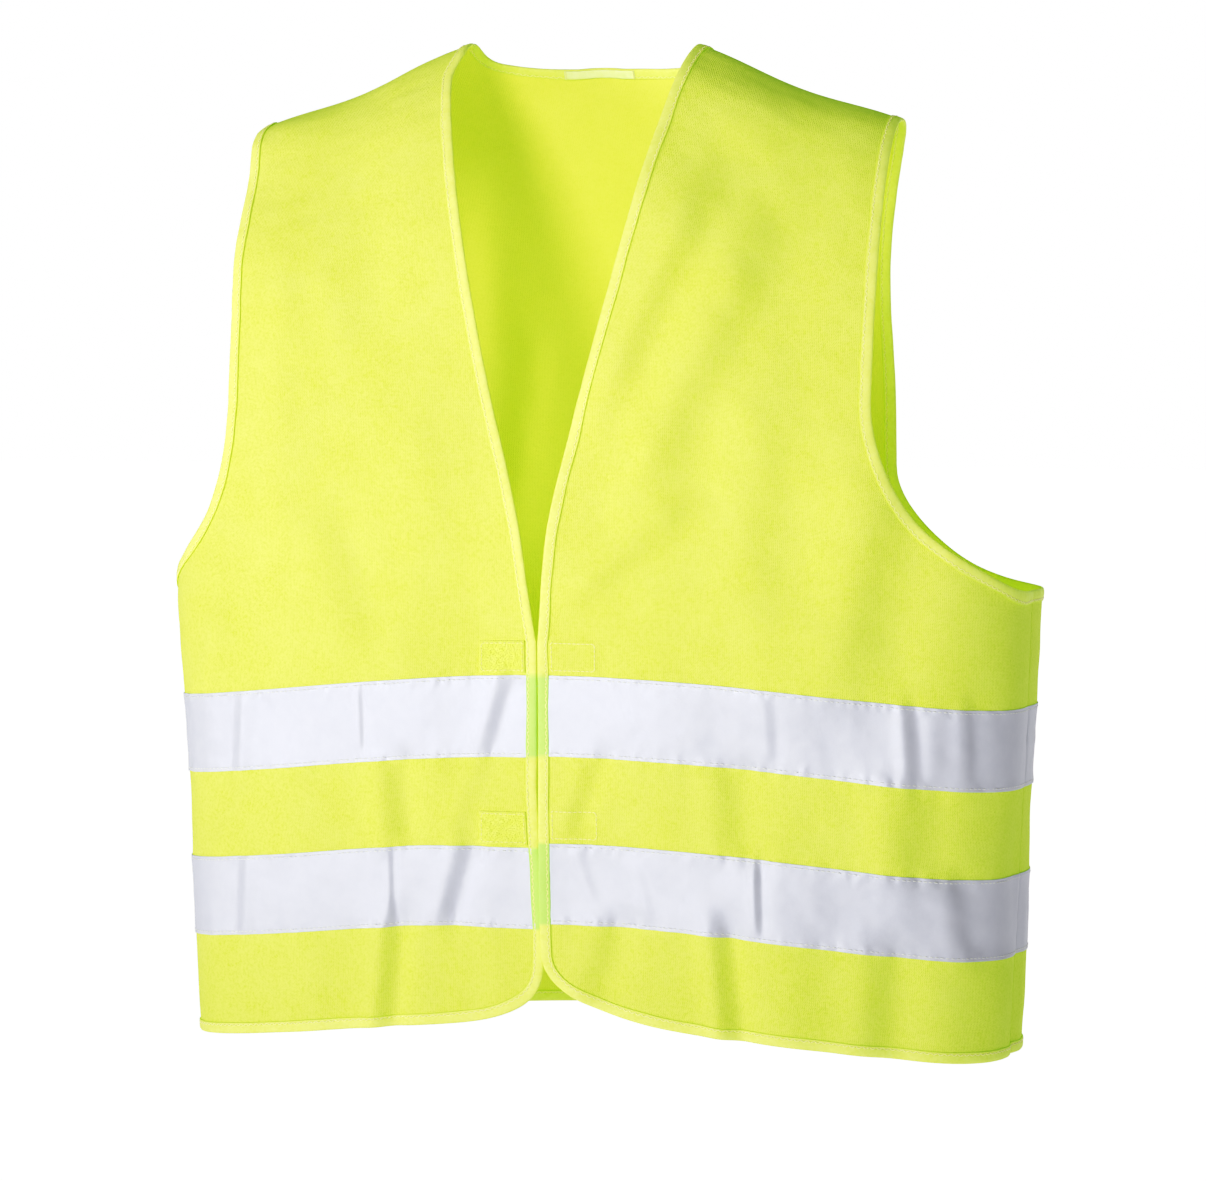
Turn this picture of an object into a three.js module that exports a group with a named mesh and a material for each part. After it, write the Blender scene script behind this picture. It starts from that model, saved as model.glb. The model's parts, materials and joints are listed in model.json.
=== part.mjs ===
// A sleeveless high visibility vest with bound edges, two reflective bands and a hook-and-loop front.
//
// Millimetres, +Z up. The origin is where the vest hangs: midway between the neck ends of the two
// shoulder seams. The wearer faces -Y, so the wearer's left is +X.
//
// The cloth lies on one outside surface. A place on it is a half (FRONT or BACK), an x, and a cloth
// height: the height above the hem, measured at the side seam. Every sewn piece is a thin shell that
// follows that surface between two edge curves.

import * as THREE from "three";

// ---- The body, as it hangs ----
const LENGTH = 628; // hem to the neck end of the shoulder seam
const CHEST = 289; // hem to the bottom of the armhole
const HEM_HALF_WIDTH = 262.5;
const CHEST_HALF_WIDTH = 277.5;
const HEM_SWAY = 11.5; // how far the middle of the hem hangs to the wearer's left
const CHEST_SWAY = 11;
const SHOULDER_SWAY = -5;
const FRONT_DEPTH = { hem: 96, chest: 102 };
const BACK_DEPTH = { hem: 106, chest: 112 };
const SQUARENESS = 3.2; // exponent of the superellipse that a level section is
const FRONT_RISE = 20; // how much higher the cloth lies at the centre front than at the sides
const RISE_FALLOFF = 1.3;

// ---- Neck, shoulders and armholes ----
const NECK_HALF_WIDTH = 78;
const SHOULDER_HALF_WIDTH = 209.5;
const SHOULDER_SLOPE = 0.406;
const SHOULDER_SAG = 5; // how far the middle of the shoulder seam hangs below a straight line
const SHOULDER_ROUNDING = 60; // how far from the middle the shoulder line bends level
const V_BOTTOM = 238;
const NECK_EDGE = [[V_BOTTOM, 1], [311, 9.5], [404, 32], [506, 54], [LENGTH, NECK_HALF_WIDTH]];
const BACK_NECK_ANGLE = THREE.MathUtils.degToRad(66.8); // the lowest point of the back neck
const BACK_NECK_SQUARENESS = 3.6;
const FRONT_ARMHOLE = { inward: 0, straightFrom: 420, squareness: 1.7 };
const BACK_ARMHOLE = { inward: 29, straightFrom: 372, squareness: 2.1 };
const BACK_FLARE_FROM = 440; // where the back armhole starts to run out to the shoulder tip
const BACK_FLARE_POWER = 2.5;
const NECK_LEAN_TO = 400; // by this height the neckline has swung over to SHOULDER_SWAY

// ---- Front edges ----
const FRONT_GAP = 0.8; // from the middle to each front's edge
const CORNER_HEIGHT = 47;
const CORNER = { right: { width: 105, squareness: 2.5 }, left: { width: 130, squareness: 2 } };

// ---- Cloth, tape and trim ----
const PANEL = { out: 0, in: -1.2 };
const BAND = { out: 0.9, in: 0.4 };
const BINDING = { out: 1.0, in: -2.2 };
const SEAM = { out: 0.5, in: -2.8 };
const LABEL = { out: -3.0, in: -3.7 };
const BINDING_WIDTH = 7.2;
const PANEL_INSET = BINDING_WIDTH + 1.1;
const SEAM_HALF_WIDTH = 1.5;
const SEAM_INSET = SEAM_HALF_WIDTH + 0.4;
const BAND_WIDTH = 50;
const BAND_BOTTOM = { lower: 63, upper: 167 };
const PATCH = { width: 30, height: 20, thickness: 1.2 };
const PATCH_FROM_MIDDLE = FRONT_GAP + PANEL_INSET + 0.3;
const PATCH_ABOVE_BAND = 1.4;
const PATCH_CLEARANCE = 0.8;
const LABEL_HALF_WIDTH = 24;

// ---- The fold that each front opens about, as points of the wearer's right side ----
// It is a straight line at y = -101.6, just in front of the cloth, so the flap turns away from the yoke.
const FOLD_TOP = { x: -58, height: 480 };
const FOLD_BOTTOM = { x: -200, height: 0 };
const FOLD_GAP = 0.7; // from the fold to each cloth edge beside it
const FLAP_TOP_CLEARANCE = 8; // from the flap's pointed top to where the fold meets the neckline
const RING_GAP = 0.02; // lifts the armhole binding's two ends off each other at the side seam

// ---- How finely the curves are stepped ----
const STEPS = {
  scoop: 8,
  shoulder: 8,
  yoke: 8,
  flap: 6,
  backNeck: 12,
  backShoulder: 5,
  neckline: 9,
  flapNeckline: 9,
  corner: 10,
  hemToFold: 3,
  seam: 4,
  label: 4,
};
const CORNER_ROWS = [0.06, 0.2, 0.45, 1]; // panel rows over the round hem corner, as shares of its height
const PROBE = { across: 0.4, up: 0.5, angle: 0.004 }; // steps that a normal is measured over
const FOLD_PASSES = 6; // rounds that settle a point of the fold line on the cloth
const HALVINGS = 40; // rounds of halving that find where two lines meet
const SEAM_BEND = 0.3; // below this climb the cloth beside the side seam faces straight to the side

// ---- Colours ----
const LIME = { color: 0xe0ea5a, roughness: 0.85, metalness: 0 };
const LIME_TRIM = { color: 0xe8f080, roughness: 0.8, metalness: 0 };
const SILVER = { color: 0xd6d8e0, roughness: 0.45, metalness: 0.1 };
const PATCH_LIME = { color: 0xe8ed66, roughness: 0.95, metalness: 0 };
const PALE_LABEL = { color: 0xf1f7a8, roughness: 0.7, metalness: 0 };

const FRONT = -1;
const BACK = 1;
const SIDES = { right: -1, left: 1 };
const QUARTER = Math.PI / 2;

const lerp = THREE.MathUtils.lerp;

// The sway of the body's middle at a cloth height.
function sway(height) {
  if (height <= CHEST) {
    return lerp(HEM_SWAY, CHEST_SWAY, height / CHEST);
  }
  return CHEST_SWAY;
}

function halfWidth(height) {
  return lerp(HEM_HALF_WIDTH, CHEST_HALF_WIDTH, Math.min(1, height / CHEST));
}

function depth(half, height) {
  const ends = half === FRONT ? FRONT_DEPTH : BACK_DEPTH;
  return lerp(ends.hem, ends.chest, Math.min(1, height / CHEST));
}

// The shoulder line's height above the hem at x.
function shoulderLine(x) {
  const away = Math.hypot(x - SHOULDER_SWAY, SHOULDER_ROUNDING);
  const neck = Math.hypot(NECK_HALF_WIDTH, SHOULDER_ROUNDING);
  const out = (Math.abs(x - SHOULDER_SWAY) - NECK_HALF_WIDTH) / (SHOULDER_HALF_WIDTH - NECK_HALF_WIDTH);
  const sag = SHOULDER_SAG * Math.sin(Math.PI * THREE.MathUtils.clamp(out, 0, 1)) ** 2;
  return LENGTH + SHOULDER_SLOPE * (neck - away) - sag;
}

// The angle from the chest, 0, over to the shoulder line, a quarter turn, at a cloth height.
function climb(height) {
  return height <= CHEST ? 0 : Math.asin(Math.min(1, (height - CHEST) / (LENGTH - CHEST)));
}

function heightAt(angle) {
  return CHEST + (LENGTH - CHEST) * Math.sin(angle);
}

// The point of the outside surface at an x and a cloth height, or past it at an angle up the shoulder.
function onSurface(half, x, height, angle = climb(height)) {
  const across = THREE.MathUtils.clamp((x - sway(height)) / halfWidth(height), -1, 1);
  const along = (1 - Math.abs(across) ** SQUARENESS) ** (1 / SQUARENESS);
  const rise = half === FRONT ? FRONT_RISE * Math.cos(QUARTER * across) ** RISE_FALLOFF : 0;
  const y = half * depth(half, height) * along * Math.cos(angle);
  const base = Math.min(height, CHEST) + rise;
  const z = angle > 0 ? lerp(base, shoulderLine(x), Math.sin(angle)) : base;
  return new THREE.Vector3(x, y, z - LENGTH);
}

// The polar angle of x round a level section, 0 at the middle and a quarter turn at a side seam.
function turnOf(x, height) {
  const across = THREE.MathUtils.clamp((x - sway(height)) / halfWidth(height), -1, 1);
  const along = (1 - Math.abs(across) ** SQUARENESS) ** (1 / SQUARENESS);
  return Math.atan2(across, along);
}

function xOf(turn, height) {
  const sine = Math.sin(turn);
  const cosine = Math.abs(Math.cos(turn));
  const radius = (Math.abs(sine) ** SQUARENESS + cosine ** SQUARENESS) ** (-1 / SQUARENESS);
  return sway(height) + halfWidth(height) * sine * radius;
}

// A row of places from one x to another, evenly turned round the section.
function placesAcross(half, height, from, to, shares, angle) {
  const start = turnOf(from, height);
  const end = turnOf(to, height);
  return shares.map((share) => ({ half, x: xOf(lerp(start, end, share), height), height, angle }));
}

function evenShares(steps) {
  return Array.from({ length: steps + 1 }, (_, i) => i / steps);
}

// ---- Edge curves, each inset by a distance from the vest's own edge ----

// Half the neck's width at a cloth height, by a cubic through NECK_EDGE.
function neckHalfWidth(height) {
  const knots = NECK_EDGE;
  let k = 0;
  while (k < knots.length - 2 && height > knots[k + 1][0]) {
    k += 1;
  }
  const slope = (i) => {
    const before = knots[Math.max(0, i - 1)];
    const after = knots[Math.min(knots.length - 1, i + 1)];
    return (after[1] - before[1]) / (after[0] - before[0]);
  };
  const span = knots[k + 1][0] - knots[k][0];
  const t = (height - knots[k][0]) / span;
  const first = (1 + 2 * t) * (1 - t) ** 2 * knots[k][1] + t * (1 - t) ** 2 * span * slope(k);
  const second = t * t * (3 - 2 * t) * knots[k + 1][1] - t * t * (1 - t) * span * slope(k + 1);
  return first + second;
}

// The x of a front's inner edge: the round hem corner, then the closure, then the neckline.
function innerEdge(side, height, inset) {
  const sign = SIDES[side];
  if (height >= V_BOTTOM) {
    const grade = neckHalfWidth(Math.min(height + 1, LENGTH)) - neckHalfWidth(Math.min(height, LENGTH - 1));
    const lean = SHOULDER_SWAY * THREE.MathUtils.smoothstep(height, V_BOTTOM, NECK_LEAN_TO);
    return lean + sign * (neckHalfWidth(height) + inset * Math.hypot(1, grade));
  }
  const { width, squareness } = CORNER[side];
  const down = Math.max(0, CORNER_HEIGHT - height) / (CORNER_HEIGHT - inset);
  const reach = (1 - Math.min(1, down) ** squareness) ** (1 / squareness);
  return sign * (FRONT_GAP + width - (width - inset) * reach);
}

const armhole = (half) => (half === FRONT ? FRONT_ARMHOLE : BACK_ARMHOLE);

// The x of the armhole's edge at a cloth height: a superelliptic scoop, then nearly straight up.
function outerEdge(half, side, height, inset) {
  const sign = SIDES[side];
  const seam = xOf(sign * QUARTER, Math.min(height, CHEST));
  const { inward, straightFrom, squareness } = armhole(half);
  const straight = SHOULDER_SWAY + sign * (SHOULDER_HALF_WIDTH - inward - inset);
  if (height < straightFrom) {
    const down = Math.min(1, (straightFrom - height) / (straightFrom - CHEST + inset));
    const scoop = (1 - down ** squareness) ** (1 / squareness);
    return lerp(seam, straight, scoop);
  }
  const up = Math.max(0, height - BACK_FLARE_FROM) / (LENGTH - BACK_FLARE_FROM);
  return straight + sign * inward * up ** BACK_FLARE_POWER;
}

// Cloth heights up the armhole's scoop, closer together where it turns.
function scoopHeights(half, inset) {
  const { straightFrom, squareness } = armhole(half);
  const tall = straightFrom - CHEST + inset;
  return evenShares(STEPS.scoop).map((share) =>
    straightFrom - tall * Math.abs(Math.cos(share * QUARTER)) ** (2 / squareness));
}

// Angles from the top of the scoop to the end of a panel or binding at the shoulder.
function shoulderAngles(half, end) {
  const start = climb(armhole(half).straightFrom);
  return evenShares(STEPS.shoulder).slice(1).map((share) => lerp(start, end, share));
}

// Places along the back neckline from right to left, as shares of its half width and of its rise.
function neckStops(steps) {
  return evenShares(steps).map((share) => {
    const turn = lerp(-QUARTER, QUARTER, share);
    const power = 2 / BACK_NECK_SQUARENESS;
    const across = Math.sign(turn) * Math.abs(Math.sin(turn)) ** power;
    return { across, bow: 1 - Math.abs(Math.cos(turn)) ** power };
  });
}

function backNeckX(across, inset) {
  return SHOULDER_SWAY + across * (NECK_HALF_WIDTH + inset);
}

// The angle up the shoulder of the back neckline, from its lowest, bow 0, to the shoulder seam, bow 1.
function backNeckAngle(bow, inset) {
  const perRadian = Math.hypot(BACK_DEPTH.chest * Math.sin(BACK_NECK_ANGLE),
    (LENGTH - CHEST) * Math.cos(BACK_NECK_ANGLE));
  return lerp(BACK_NECK_ANGLE - inset / perRadian, QUARTER, bow);
}

function backNeckBow(x, inset) {
  const across = Math.min(1, Math.abs(x - SHOULDER_SWAY) / (NECK_HALF_WIDTH + inset));
  return 1 - (1 - across ** BACK_NECK_SQUARENESS) ** (1 / BACK_NECK_SQUARENESS);
}

// The x of the fold line at a cloth height, moved off it by a distance towards the side.
function foldLine(side, height, off) {
  const sign = SIDES[side];
  let x = sign * -FOLD_TOP.x;
  for (let pass = 0; pass < FOLD_PASSES; pass += 1) {
    const z = onSurface(FRONT, x, height).z + LENGTH;
    const share = (FOLD_TOP.height - z) / (FOLD_TOP.height - FOLD_BOTTOM.height);
    x = sign * (-lerp(FOLD_TOP.x, FOLD_BOTTOM.x, share) + off);
  }
  return x;
}

// The cloth height where a front's inner edge meets the fold line.
function foldMeets(side, inset, off) {
  let low = V_BOTTOM;
  let high = LENGTH;
  const sign = SIDES[side];
  for (let pass = 0; pass < HALVINGS; pass += 1) {
    const middle = (low + high) / 2;
    const inside = sign * innerEdge(side, middle, inset) < sign * foldLine(side, middle, off);
    if (inside) {
      low = middle;
    } else {
      high = middle;
    }
  }
  return low;
}

// ---- Shells ----

// The unit normal of the outside surface at a place, away from the body.
function normalAt(place) {
  const { half, x, height } = place;
  const angle = place.angle ?? climb(height);
    const across = halfWidth(height) - Math.abs(x - sway(height));
  if (across < 2 * PROBE.across && angle < SEAM_BEND) {
    return new THREE.Vector3(Math.sign(x - sway(height)), 0, 0);
  }
  const turned = (by) => onSurface(half, x, heightAt(angle), angle + by);
  const raised = (by) => onSurface(half, x, height + by);
  const moved = (by) => onSurface(half, x + by, height, angle);
  const up = angle > 0
    ? turned(PROBE.angle).sub(turned(-PROBE.angle))
    : raised(PROBE.up).sub(raised(-PROBE.up));
  const along = moved(PROBE.across).sub(moved(-PROBE.across));
  return up.cross(along).multiplyScalar(half === FRONT ? -1 : 1).normalize();
}

// A closed shell over a grid of places, from the offset layer.in to layer.out along the normal.
function shell(rows, layer) {
  const columns = rows[0].length;
  const count = rows.length * columns;
  const positions = [];
  for (const offset of [layer.out, layer.in]) {
    for (const place of rows.flat()) {
      const point = onSurface(place.half, place.x, place.height, place.angle ?? climb(place.height));
      positions.push(...point.addScaledVector(normalAt(place), offset));
    }
  }
  const index = [];
  const quad = (a, b, c, d) => index.push(a, b, c, a, c, d);
  for (let i = 0; i < rows.length - 1; i += 1) {
    for (let j = 0; j < columns - 1; j += 1) {
      const a = i * columns + j;
      quad(a, a + 1, a + 1 + columns, a + columns);
      quad(a + count, a + columns + count, a + 1 + columns + count, a + 1 + count);
    }
  }
  const wall = (a, b) => quad(a, a + count, b + count, b);
  for (let j = 0; j < columns - 1; j += 1) {
    const top = (rows.length - 1) * columns + j;
    wall(j, j + 1);
    wall(top + 1, top);
  }
  for (let i = 0; i < rows.length - 1; i += 1) {
    wall((i + 1) * columns, i * columns);
    wall(i * columns + columns - 1, (i + 1) * columns + columns - 1);
  }
  return outward(positions, index);
}

// The shell's geometry, turned inside out if its faces point in.
function outward(positions, index) {
  const corner = (k) => new THREE.Vector3().fromArray(positions, 3 * index[k]);
  let volume = 0;
  for (let k = 0; k < index.length; k += 3) {
    volume += corner(k).dot(corner(k + 1).cross(corner(k + 2)));
  }
  const geometry = new THREE.BufferGeometry();
  geometry.setAttribute("position", new THREE.Float32BufferAttribute(positions, 3));
  geometry.setIndex(volume < 0 ? index.toReversed() : index);
  geometry.computeVertexNormals();
  return geometry;
}

function mesh(name, geometry, finish) {
  const made = new THREE.Mesh(geometry, new THREE.MeshStandardMaterial(finish));
  made.name = name;
  return made;
}

// ---- Panels ----

// Cloth heights of a panel's rows up to the top of the armhole's scoop.
function panelHeights(half) {
  const bands = Object.values(BAND_BOTTOM).flatMap((bottom) => [bottom, bottom + BAND_WIDTH]);
  const corner = CORNER_ROWS.map((share) => lerp(PANEL_INSET, CORNER_HEIGHT, share));
  return [PANEL_INSET, ...corner, ...bands, V_BOTTOM, ...scoopHeights(half, PANEL_INSET)];
}

// The x of a panel's outer edge: beside the side seam, and above that along the armhole.
function panelOutside(half, side, height) {
  return height <= CHEST - PANEL_INSET
    ? besideSideSeam(half, side, height)
    : outerEdge(half, side, height, PANEL_INSET);
}

function besideSideSeam(half, side, height) {
  return xOf(SIDES[side] * (QUARTER - SEAM_INSET / depth(half, height)), height);
}

function frontYoke(side) {
  const top = foldMeets(side, PANEL_INSET, FOLD_GAP);
  const inner = (height) =>
    height < top ? foldLine(side, height, FOLD_GAP) : innerEdge(side, height, PANEL_INSET);
  const angles = shoulderAngles(FRONT, QUARTER - SEAM_INSET / FRONT_DEPTH.chest);
  const heights = [...panelHeights(FRONT), ...angles.map(heightAt), top].sort((a, b) => a - b);
  const rows = heights.map((height) =>
    placesAcross(FRONT, height, inner(height), panelOutside(FRONT, side, height), evenShares(STEPS.yoke)));
  return shell(rows, PANEL);
}

function frontFlap(side) {
  const top = foldMeets(side, PANEL_INSET, -FOLD_GAP) - FLAP_TOP_CLEARANCE;
  const heights = panelHeights(FRONT).filter((height) => height < top).concat(top);
  const rows = heights.map((height) =>
    placesAcross(FRONT, height, innerEdge(side, height, PANEL_INSET),
      foldLine(side, height, -FOLD_GAP), evenShares(STEPS.flap)));
  return shell(rows, PANEL);
}

// The back's columns are shared out so that those over the neck follow the neckline.
function backShares() {
  const edge = (side) => turnOf(outerEdge(BACK, side, LENGTH, PANEL_INSET), LENGTH);
  const share = (x) => (turnOf(x, LENGTH) - edge("right")) / (edge("left") - edge("right"));
  const neck = neckStops(STEPS.backNeck).map(({ across }) => share(backNeckX(across, PANEL_INSET)));
  const shoulder = evenShares(STEPS.backShoulder).slice(0, -1);
  const right = shoulder.map((part) => lerp(0, neck[0], part));
  const left = shoulder.map((part) => lerp(1, neck[STEPS.backNeck], part)).reverse();
  return [...right, ...neck, ...left];
}

function backPanel() {
  const shares = backShares();
  const row = (height, angle) => placesAcross(BACK, height,
    panelOutside(BACK, "right", height), panelOutside(BACK, "left", height), shares, angle);
  const rows = panelHeights(BACK).map((height) => row(height));
  const start = climb(BACK_ARMHOLE.straightFrom);
  const end = QUARTER - SEAM_INSET / BACK_DEPTH.chest;
  for (const angle of shoulderAngles(BACK, end)) {
    const share = (angle - start) / (end - start);
    rows.push(row(heightAt(angle)).map(({ x }) => {
      const neck = backNeckAngle(backNeckBow(x, PANEL_INSET), PANEL_INSET);
      const bent = lerp(start, Math.min(end, neck), share);
      return { half: BACK, x, height: heightAt(bent), angle: bent };
    }));
  }
  return shell(rows, PANEL);
}

// ---- Reflective bands ----

function bandRows(height, across) {
  return [height, height + BAND_WIDTH].map(across);
}

function frontBand(side, bottom) {
  return shell(bandRows(bottom, (height) =>
    placesAcross(FRONT, height, innerEdge(side, height, PANEL_INSET),
      foldLine(side, height, -FOLD_GAP), evenShares(STEPS.flap))), BAND);
}

function sideBand(side, bottom) {
  return shell(bandRows(bottom, (height) =>
    placesAcross(FRONT, height, foldLine(side, height, FOLD_GAP),
      besideSideSeam(FRONT, side, height), evenShares(STEPS.yoke))), BAND);
}

function backBand(bottom) {
  const shares = backShares();
  return shell(bandRows(bottom, (height) =>
    placesAcross(BACK, height, besideSideSeam(BACK, "right", height),
      besideSideSeam(BACK, "left", height), shares)), BAND);
}

// ---- Edge bindings: a strip from the vest's edge to BINDING_WIDTH inside it ----

const STRIP = [0, BINDING_WIDTH];

function necklineBinding(side) {
  const starts = STRIP.map((inset) => foldMeets(side, inset, FOLD_GAP));
  const last = Math.sin(QUARTER - SEAM_INSET / FRONT_DEPTH.chest);
  const end = CHEST + (LENGTH - CHEST) * last;
  const rows = evenShares(STEPS.neckline).map((share) =>
    STRIP.map((inset, k) => {
      const height = heightAt(lerp(climb(starts[k]), climb(end), share));
      return { half: FRONT, x: innerEdge(side, height, inset), height };
    }));
  return shell(rows, BINDING);
}

// Down the flap's neckline and closure, round the hem corner and along the hem to the fold.
function frontEdgeBinding(side) {
  const sign = SIDES[side];
  const { width, squareness } = CORNER[side];
  const tops = STRIP.map((inset) => foldMeets(side, inset, -FOLD_GAP));
  const rows = evenShares(STEPS.flapNeckline).map((share) =>
    STRIP.map((inset, k) => {
      const height = lerp(tops[k], V_BOTTOM, share);
      return { half: FRONT, x: innerEdge(side, height, inset), height };
    }));
  for (const bottom of [BAND_BOTTOM.upper, BAND_BOTTOM.lower, CORNER_HEIGHT]) {
    rows.push(STRIP.map((inset) => ({ half: FRONT, x: innerEdge(side, bottom, inset), height: bottom })));
  }
  for (const share of evenShares(STEPS.corner).slice(1)) {
    const turn = share * QUARTER;
    rows.push(STRIP.map((inset) => {
      const x = width - (width - inset) * Math.cos(turn) ** (2 / squareness);
      const height = CORNER_HEIGHT - (CORNER_HEIGHT - inset) * Math.sin(turn) ** (2 / squareness);
      return { half: FRONT, x: sign * (FRONT_GAP + x), height };
    }));
  }
  for (const share of evenShares(STEPS.hemToFold).slice(1)) {
    rows.push(STRIP.map((inset) => {
      const end = foldLine(side, inset, -FOLD_GAP);
      return { half: FRONT, x: lerp(sign * (FRONT_GAP + width), end, share), height: inset };
    }));
  }
  return shell(rows, BINDING);
}

function frontHemBinding(side) {
  const rows = STRIP.map((inset) =>
    placesAcross(FRONT, inset, foldLine(side, inset, FOLD_GAP), besideSideSeam(FRONT, side, inset),
      evenShares(STEPS.yoke)));
  return shell(rows, BINDING);
}

function backHemBinding() {
  const rows = STRIP.map((inset) =>
    placesAcross(BACK, inset, besideSideSeam(BACK, "right", inset), besideSideSeam(BACK, "left", inset),
      backShares()));
  return shell(rows, BINDING);
}

function backNeckBinding() {
  const end = QUARTER - SEAM_INSET / BACK_DEPTH.chest;
  const rows = neckStops(STEPS.backNeck).map(({ across, bow }) =>
    STRIP.map((inset) => {
      const angle = Math.min(end, backNeckAngle(bow, inset));
      return { half: BACK, x: backNeckX(across, inset), height: heightAt(angle), angle };
    }));
  return shell(rows, BINDING);
}

// From the side seam up the front of the armhole, over the shoulder and down the back.
function armholeBinding(side) {
  const path = (half) => {
    const scoops = STRIP.map((inset) => scoopHeights(half, inset));
    const scoop = scoops[0].map((_, k) =>
      STRIP.map((inset, column) => {
        const height = Math.max(scoops[column][k], CHEST - inset + RING_GAP);
        return { half, x: outerEdge(half, side, height, inset), height };
      }));
    const shoulder = shoulderAngles(half, QUARTER).map((angle) =>
      STRIP.map((inset) => {
        const height = heightAt(angle);
        return { half, x: outerEdge(half, side, height, inset), height, angle };
      }));
    return [...scoop, ...shoulder];
  };
  return shell([...path(FRONT), ...path(BACK).reverse().slice(1)], BINDING);
}

// ---- Seams ----

function shoulderSeam(side) {
  const sign = SIDES[side];
  const inner = SHOULDER_SWAY + sign * (NECK_HALF_WIDTH + PANEL_INSET);
  const outer = SHOULDER_SWAY + sign * (SHOULDER_HALF_WIDTH - PANEL_INSET);
  const row = (half) => evenShares(STEPS.seam).map((share) => {
    const angle = QUARTER - SEAM_HALF_WIDTH / depth(half, CHEST);
    return { half, x: lerp(inner, outer, share), height: heightAt(angle), angle };
  });
  return shell([row(FRONT), row(BACK)], SEAM);
}

function sideSeam(side) {
  const top = CHEST - BINDING_WIDTH - 1;
  const row = (height) => [FRONT, BACK].map((half) => {
    const turn = SIDES[side] * (QUARTER - SEAM_HALF_WIDTH / depth(half, height));
    return { half, x: xOf(turn, height), height };
  });
  return shell([0, top / 2, top].map(row), SEAM);
}

// ---- Fasteners and label ----

// A flat pad of hook or loop tape. Loop pads face out on the right front, hook pads face in on the left.
function fastenerPatch(side, bandBottom) {
  const sign = SIDES[side];
  const x = sign * (PATCH_FROM_MIDDLE + PATCH.width / 2);
  const height = bandBottom + BAND_WIDTH + PATCH_ABOVE_BAND + PATCH.height / 2;
  const surface = onSurface(FRONT, x, height);
  const offset = PATCH_CLEARANCE + PATCH.thickness / 2;
  const y = side === "right" ? surface.y - offset : surface.y - PANEL.in + offset;
  const geometry = new THREE.BoxGeometry(PATCH.width, PATCH.thickness, PATCH.height);
  return geometry.translate(surface.x, y, surface.z);
}

function neckLabel() {
  const rows = [0.5, BINDING_WIDTH - 0.5].map((inset) =>
    evenShares(STEPS.label).map((share) => {
      const x = SHOULDER_SWAY + lerp(-LABEL_HALF_WIDTH, LABEL_HALF_WIDTH, share);
      const angle = backNeckAngle(backNeckBow(x, inset), inset);
      return { half: BACK, x, height: heightAt(angle), angle };
    }));
  return shell(rows, LABEL);
}

// ---- The vest ----

const vest = new THREE.Group();
vest.name = "high_visibility_vest";

vest.add(mesh("back_panel", backPanel(), LIME));
vest.add(mesh("back_neck_binding", backNeckBinding(), LIME_TRIM));
vest.add(mesh("back_hem_binding", backHemBinding(), LIME_TRIM));
vest.add(mesh("neck_label", neckLabel(), PALE_LABEL));

for (const side of Object.keys(SIDES)) {
  vest.add(mesh(`${side}_front_yoke`, frontYoke(side), LIME));
  vest.add(mesh(`${side}_front_flap`, frontFlap(side), LIME));
  vest.add(mesh(`${side}_neckline_binding`, necklineBinding(side), LIME_TRIM));
  vest.add(mesh(`${side}_front_edge_binding`, frontEdgeBinding(side), LIME_TRIM));
  vest.add(mesh(`${side}_front_hem_binding`, frontHemBinding(side), LIME_TRIM));
  vest.add(mesh(`${side}_armhole_binding`, armholeBinding(side), LIME_TRIM));
  vest.add(mesh(`${side}_shoulder_seam`, shoulderSeam(side), LIME));
  vest.add(mesh(`${side}_side_seam`, sideSeam(side), LIME));
}

for (const [level, bottom] of Object.entries(BAND_BOTTOM)) {
  vest.add(mesh(`${level}_band_back`, backBand(bottom), SILVER));
  for (const side of Object.keys(SIDES)) {
    vest.add(mesh(`${level}_band_${side}_side`, sideBand(side, bottom), SILVER));
    vest.add(mesh(`${level}_band_${side}_front`, frontBand(side, bottom), SILVER));
  }
  vest.add(mesh(`${level}_loop_patch`, fastenerPatch("right", bottom), PATCH_LIME));
  vest.add(mesh(`${level}_hook_patch`, fastenerPatch("left", bottom), PATCH_LIME));
}

export default vest;
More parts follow.
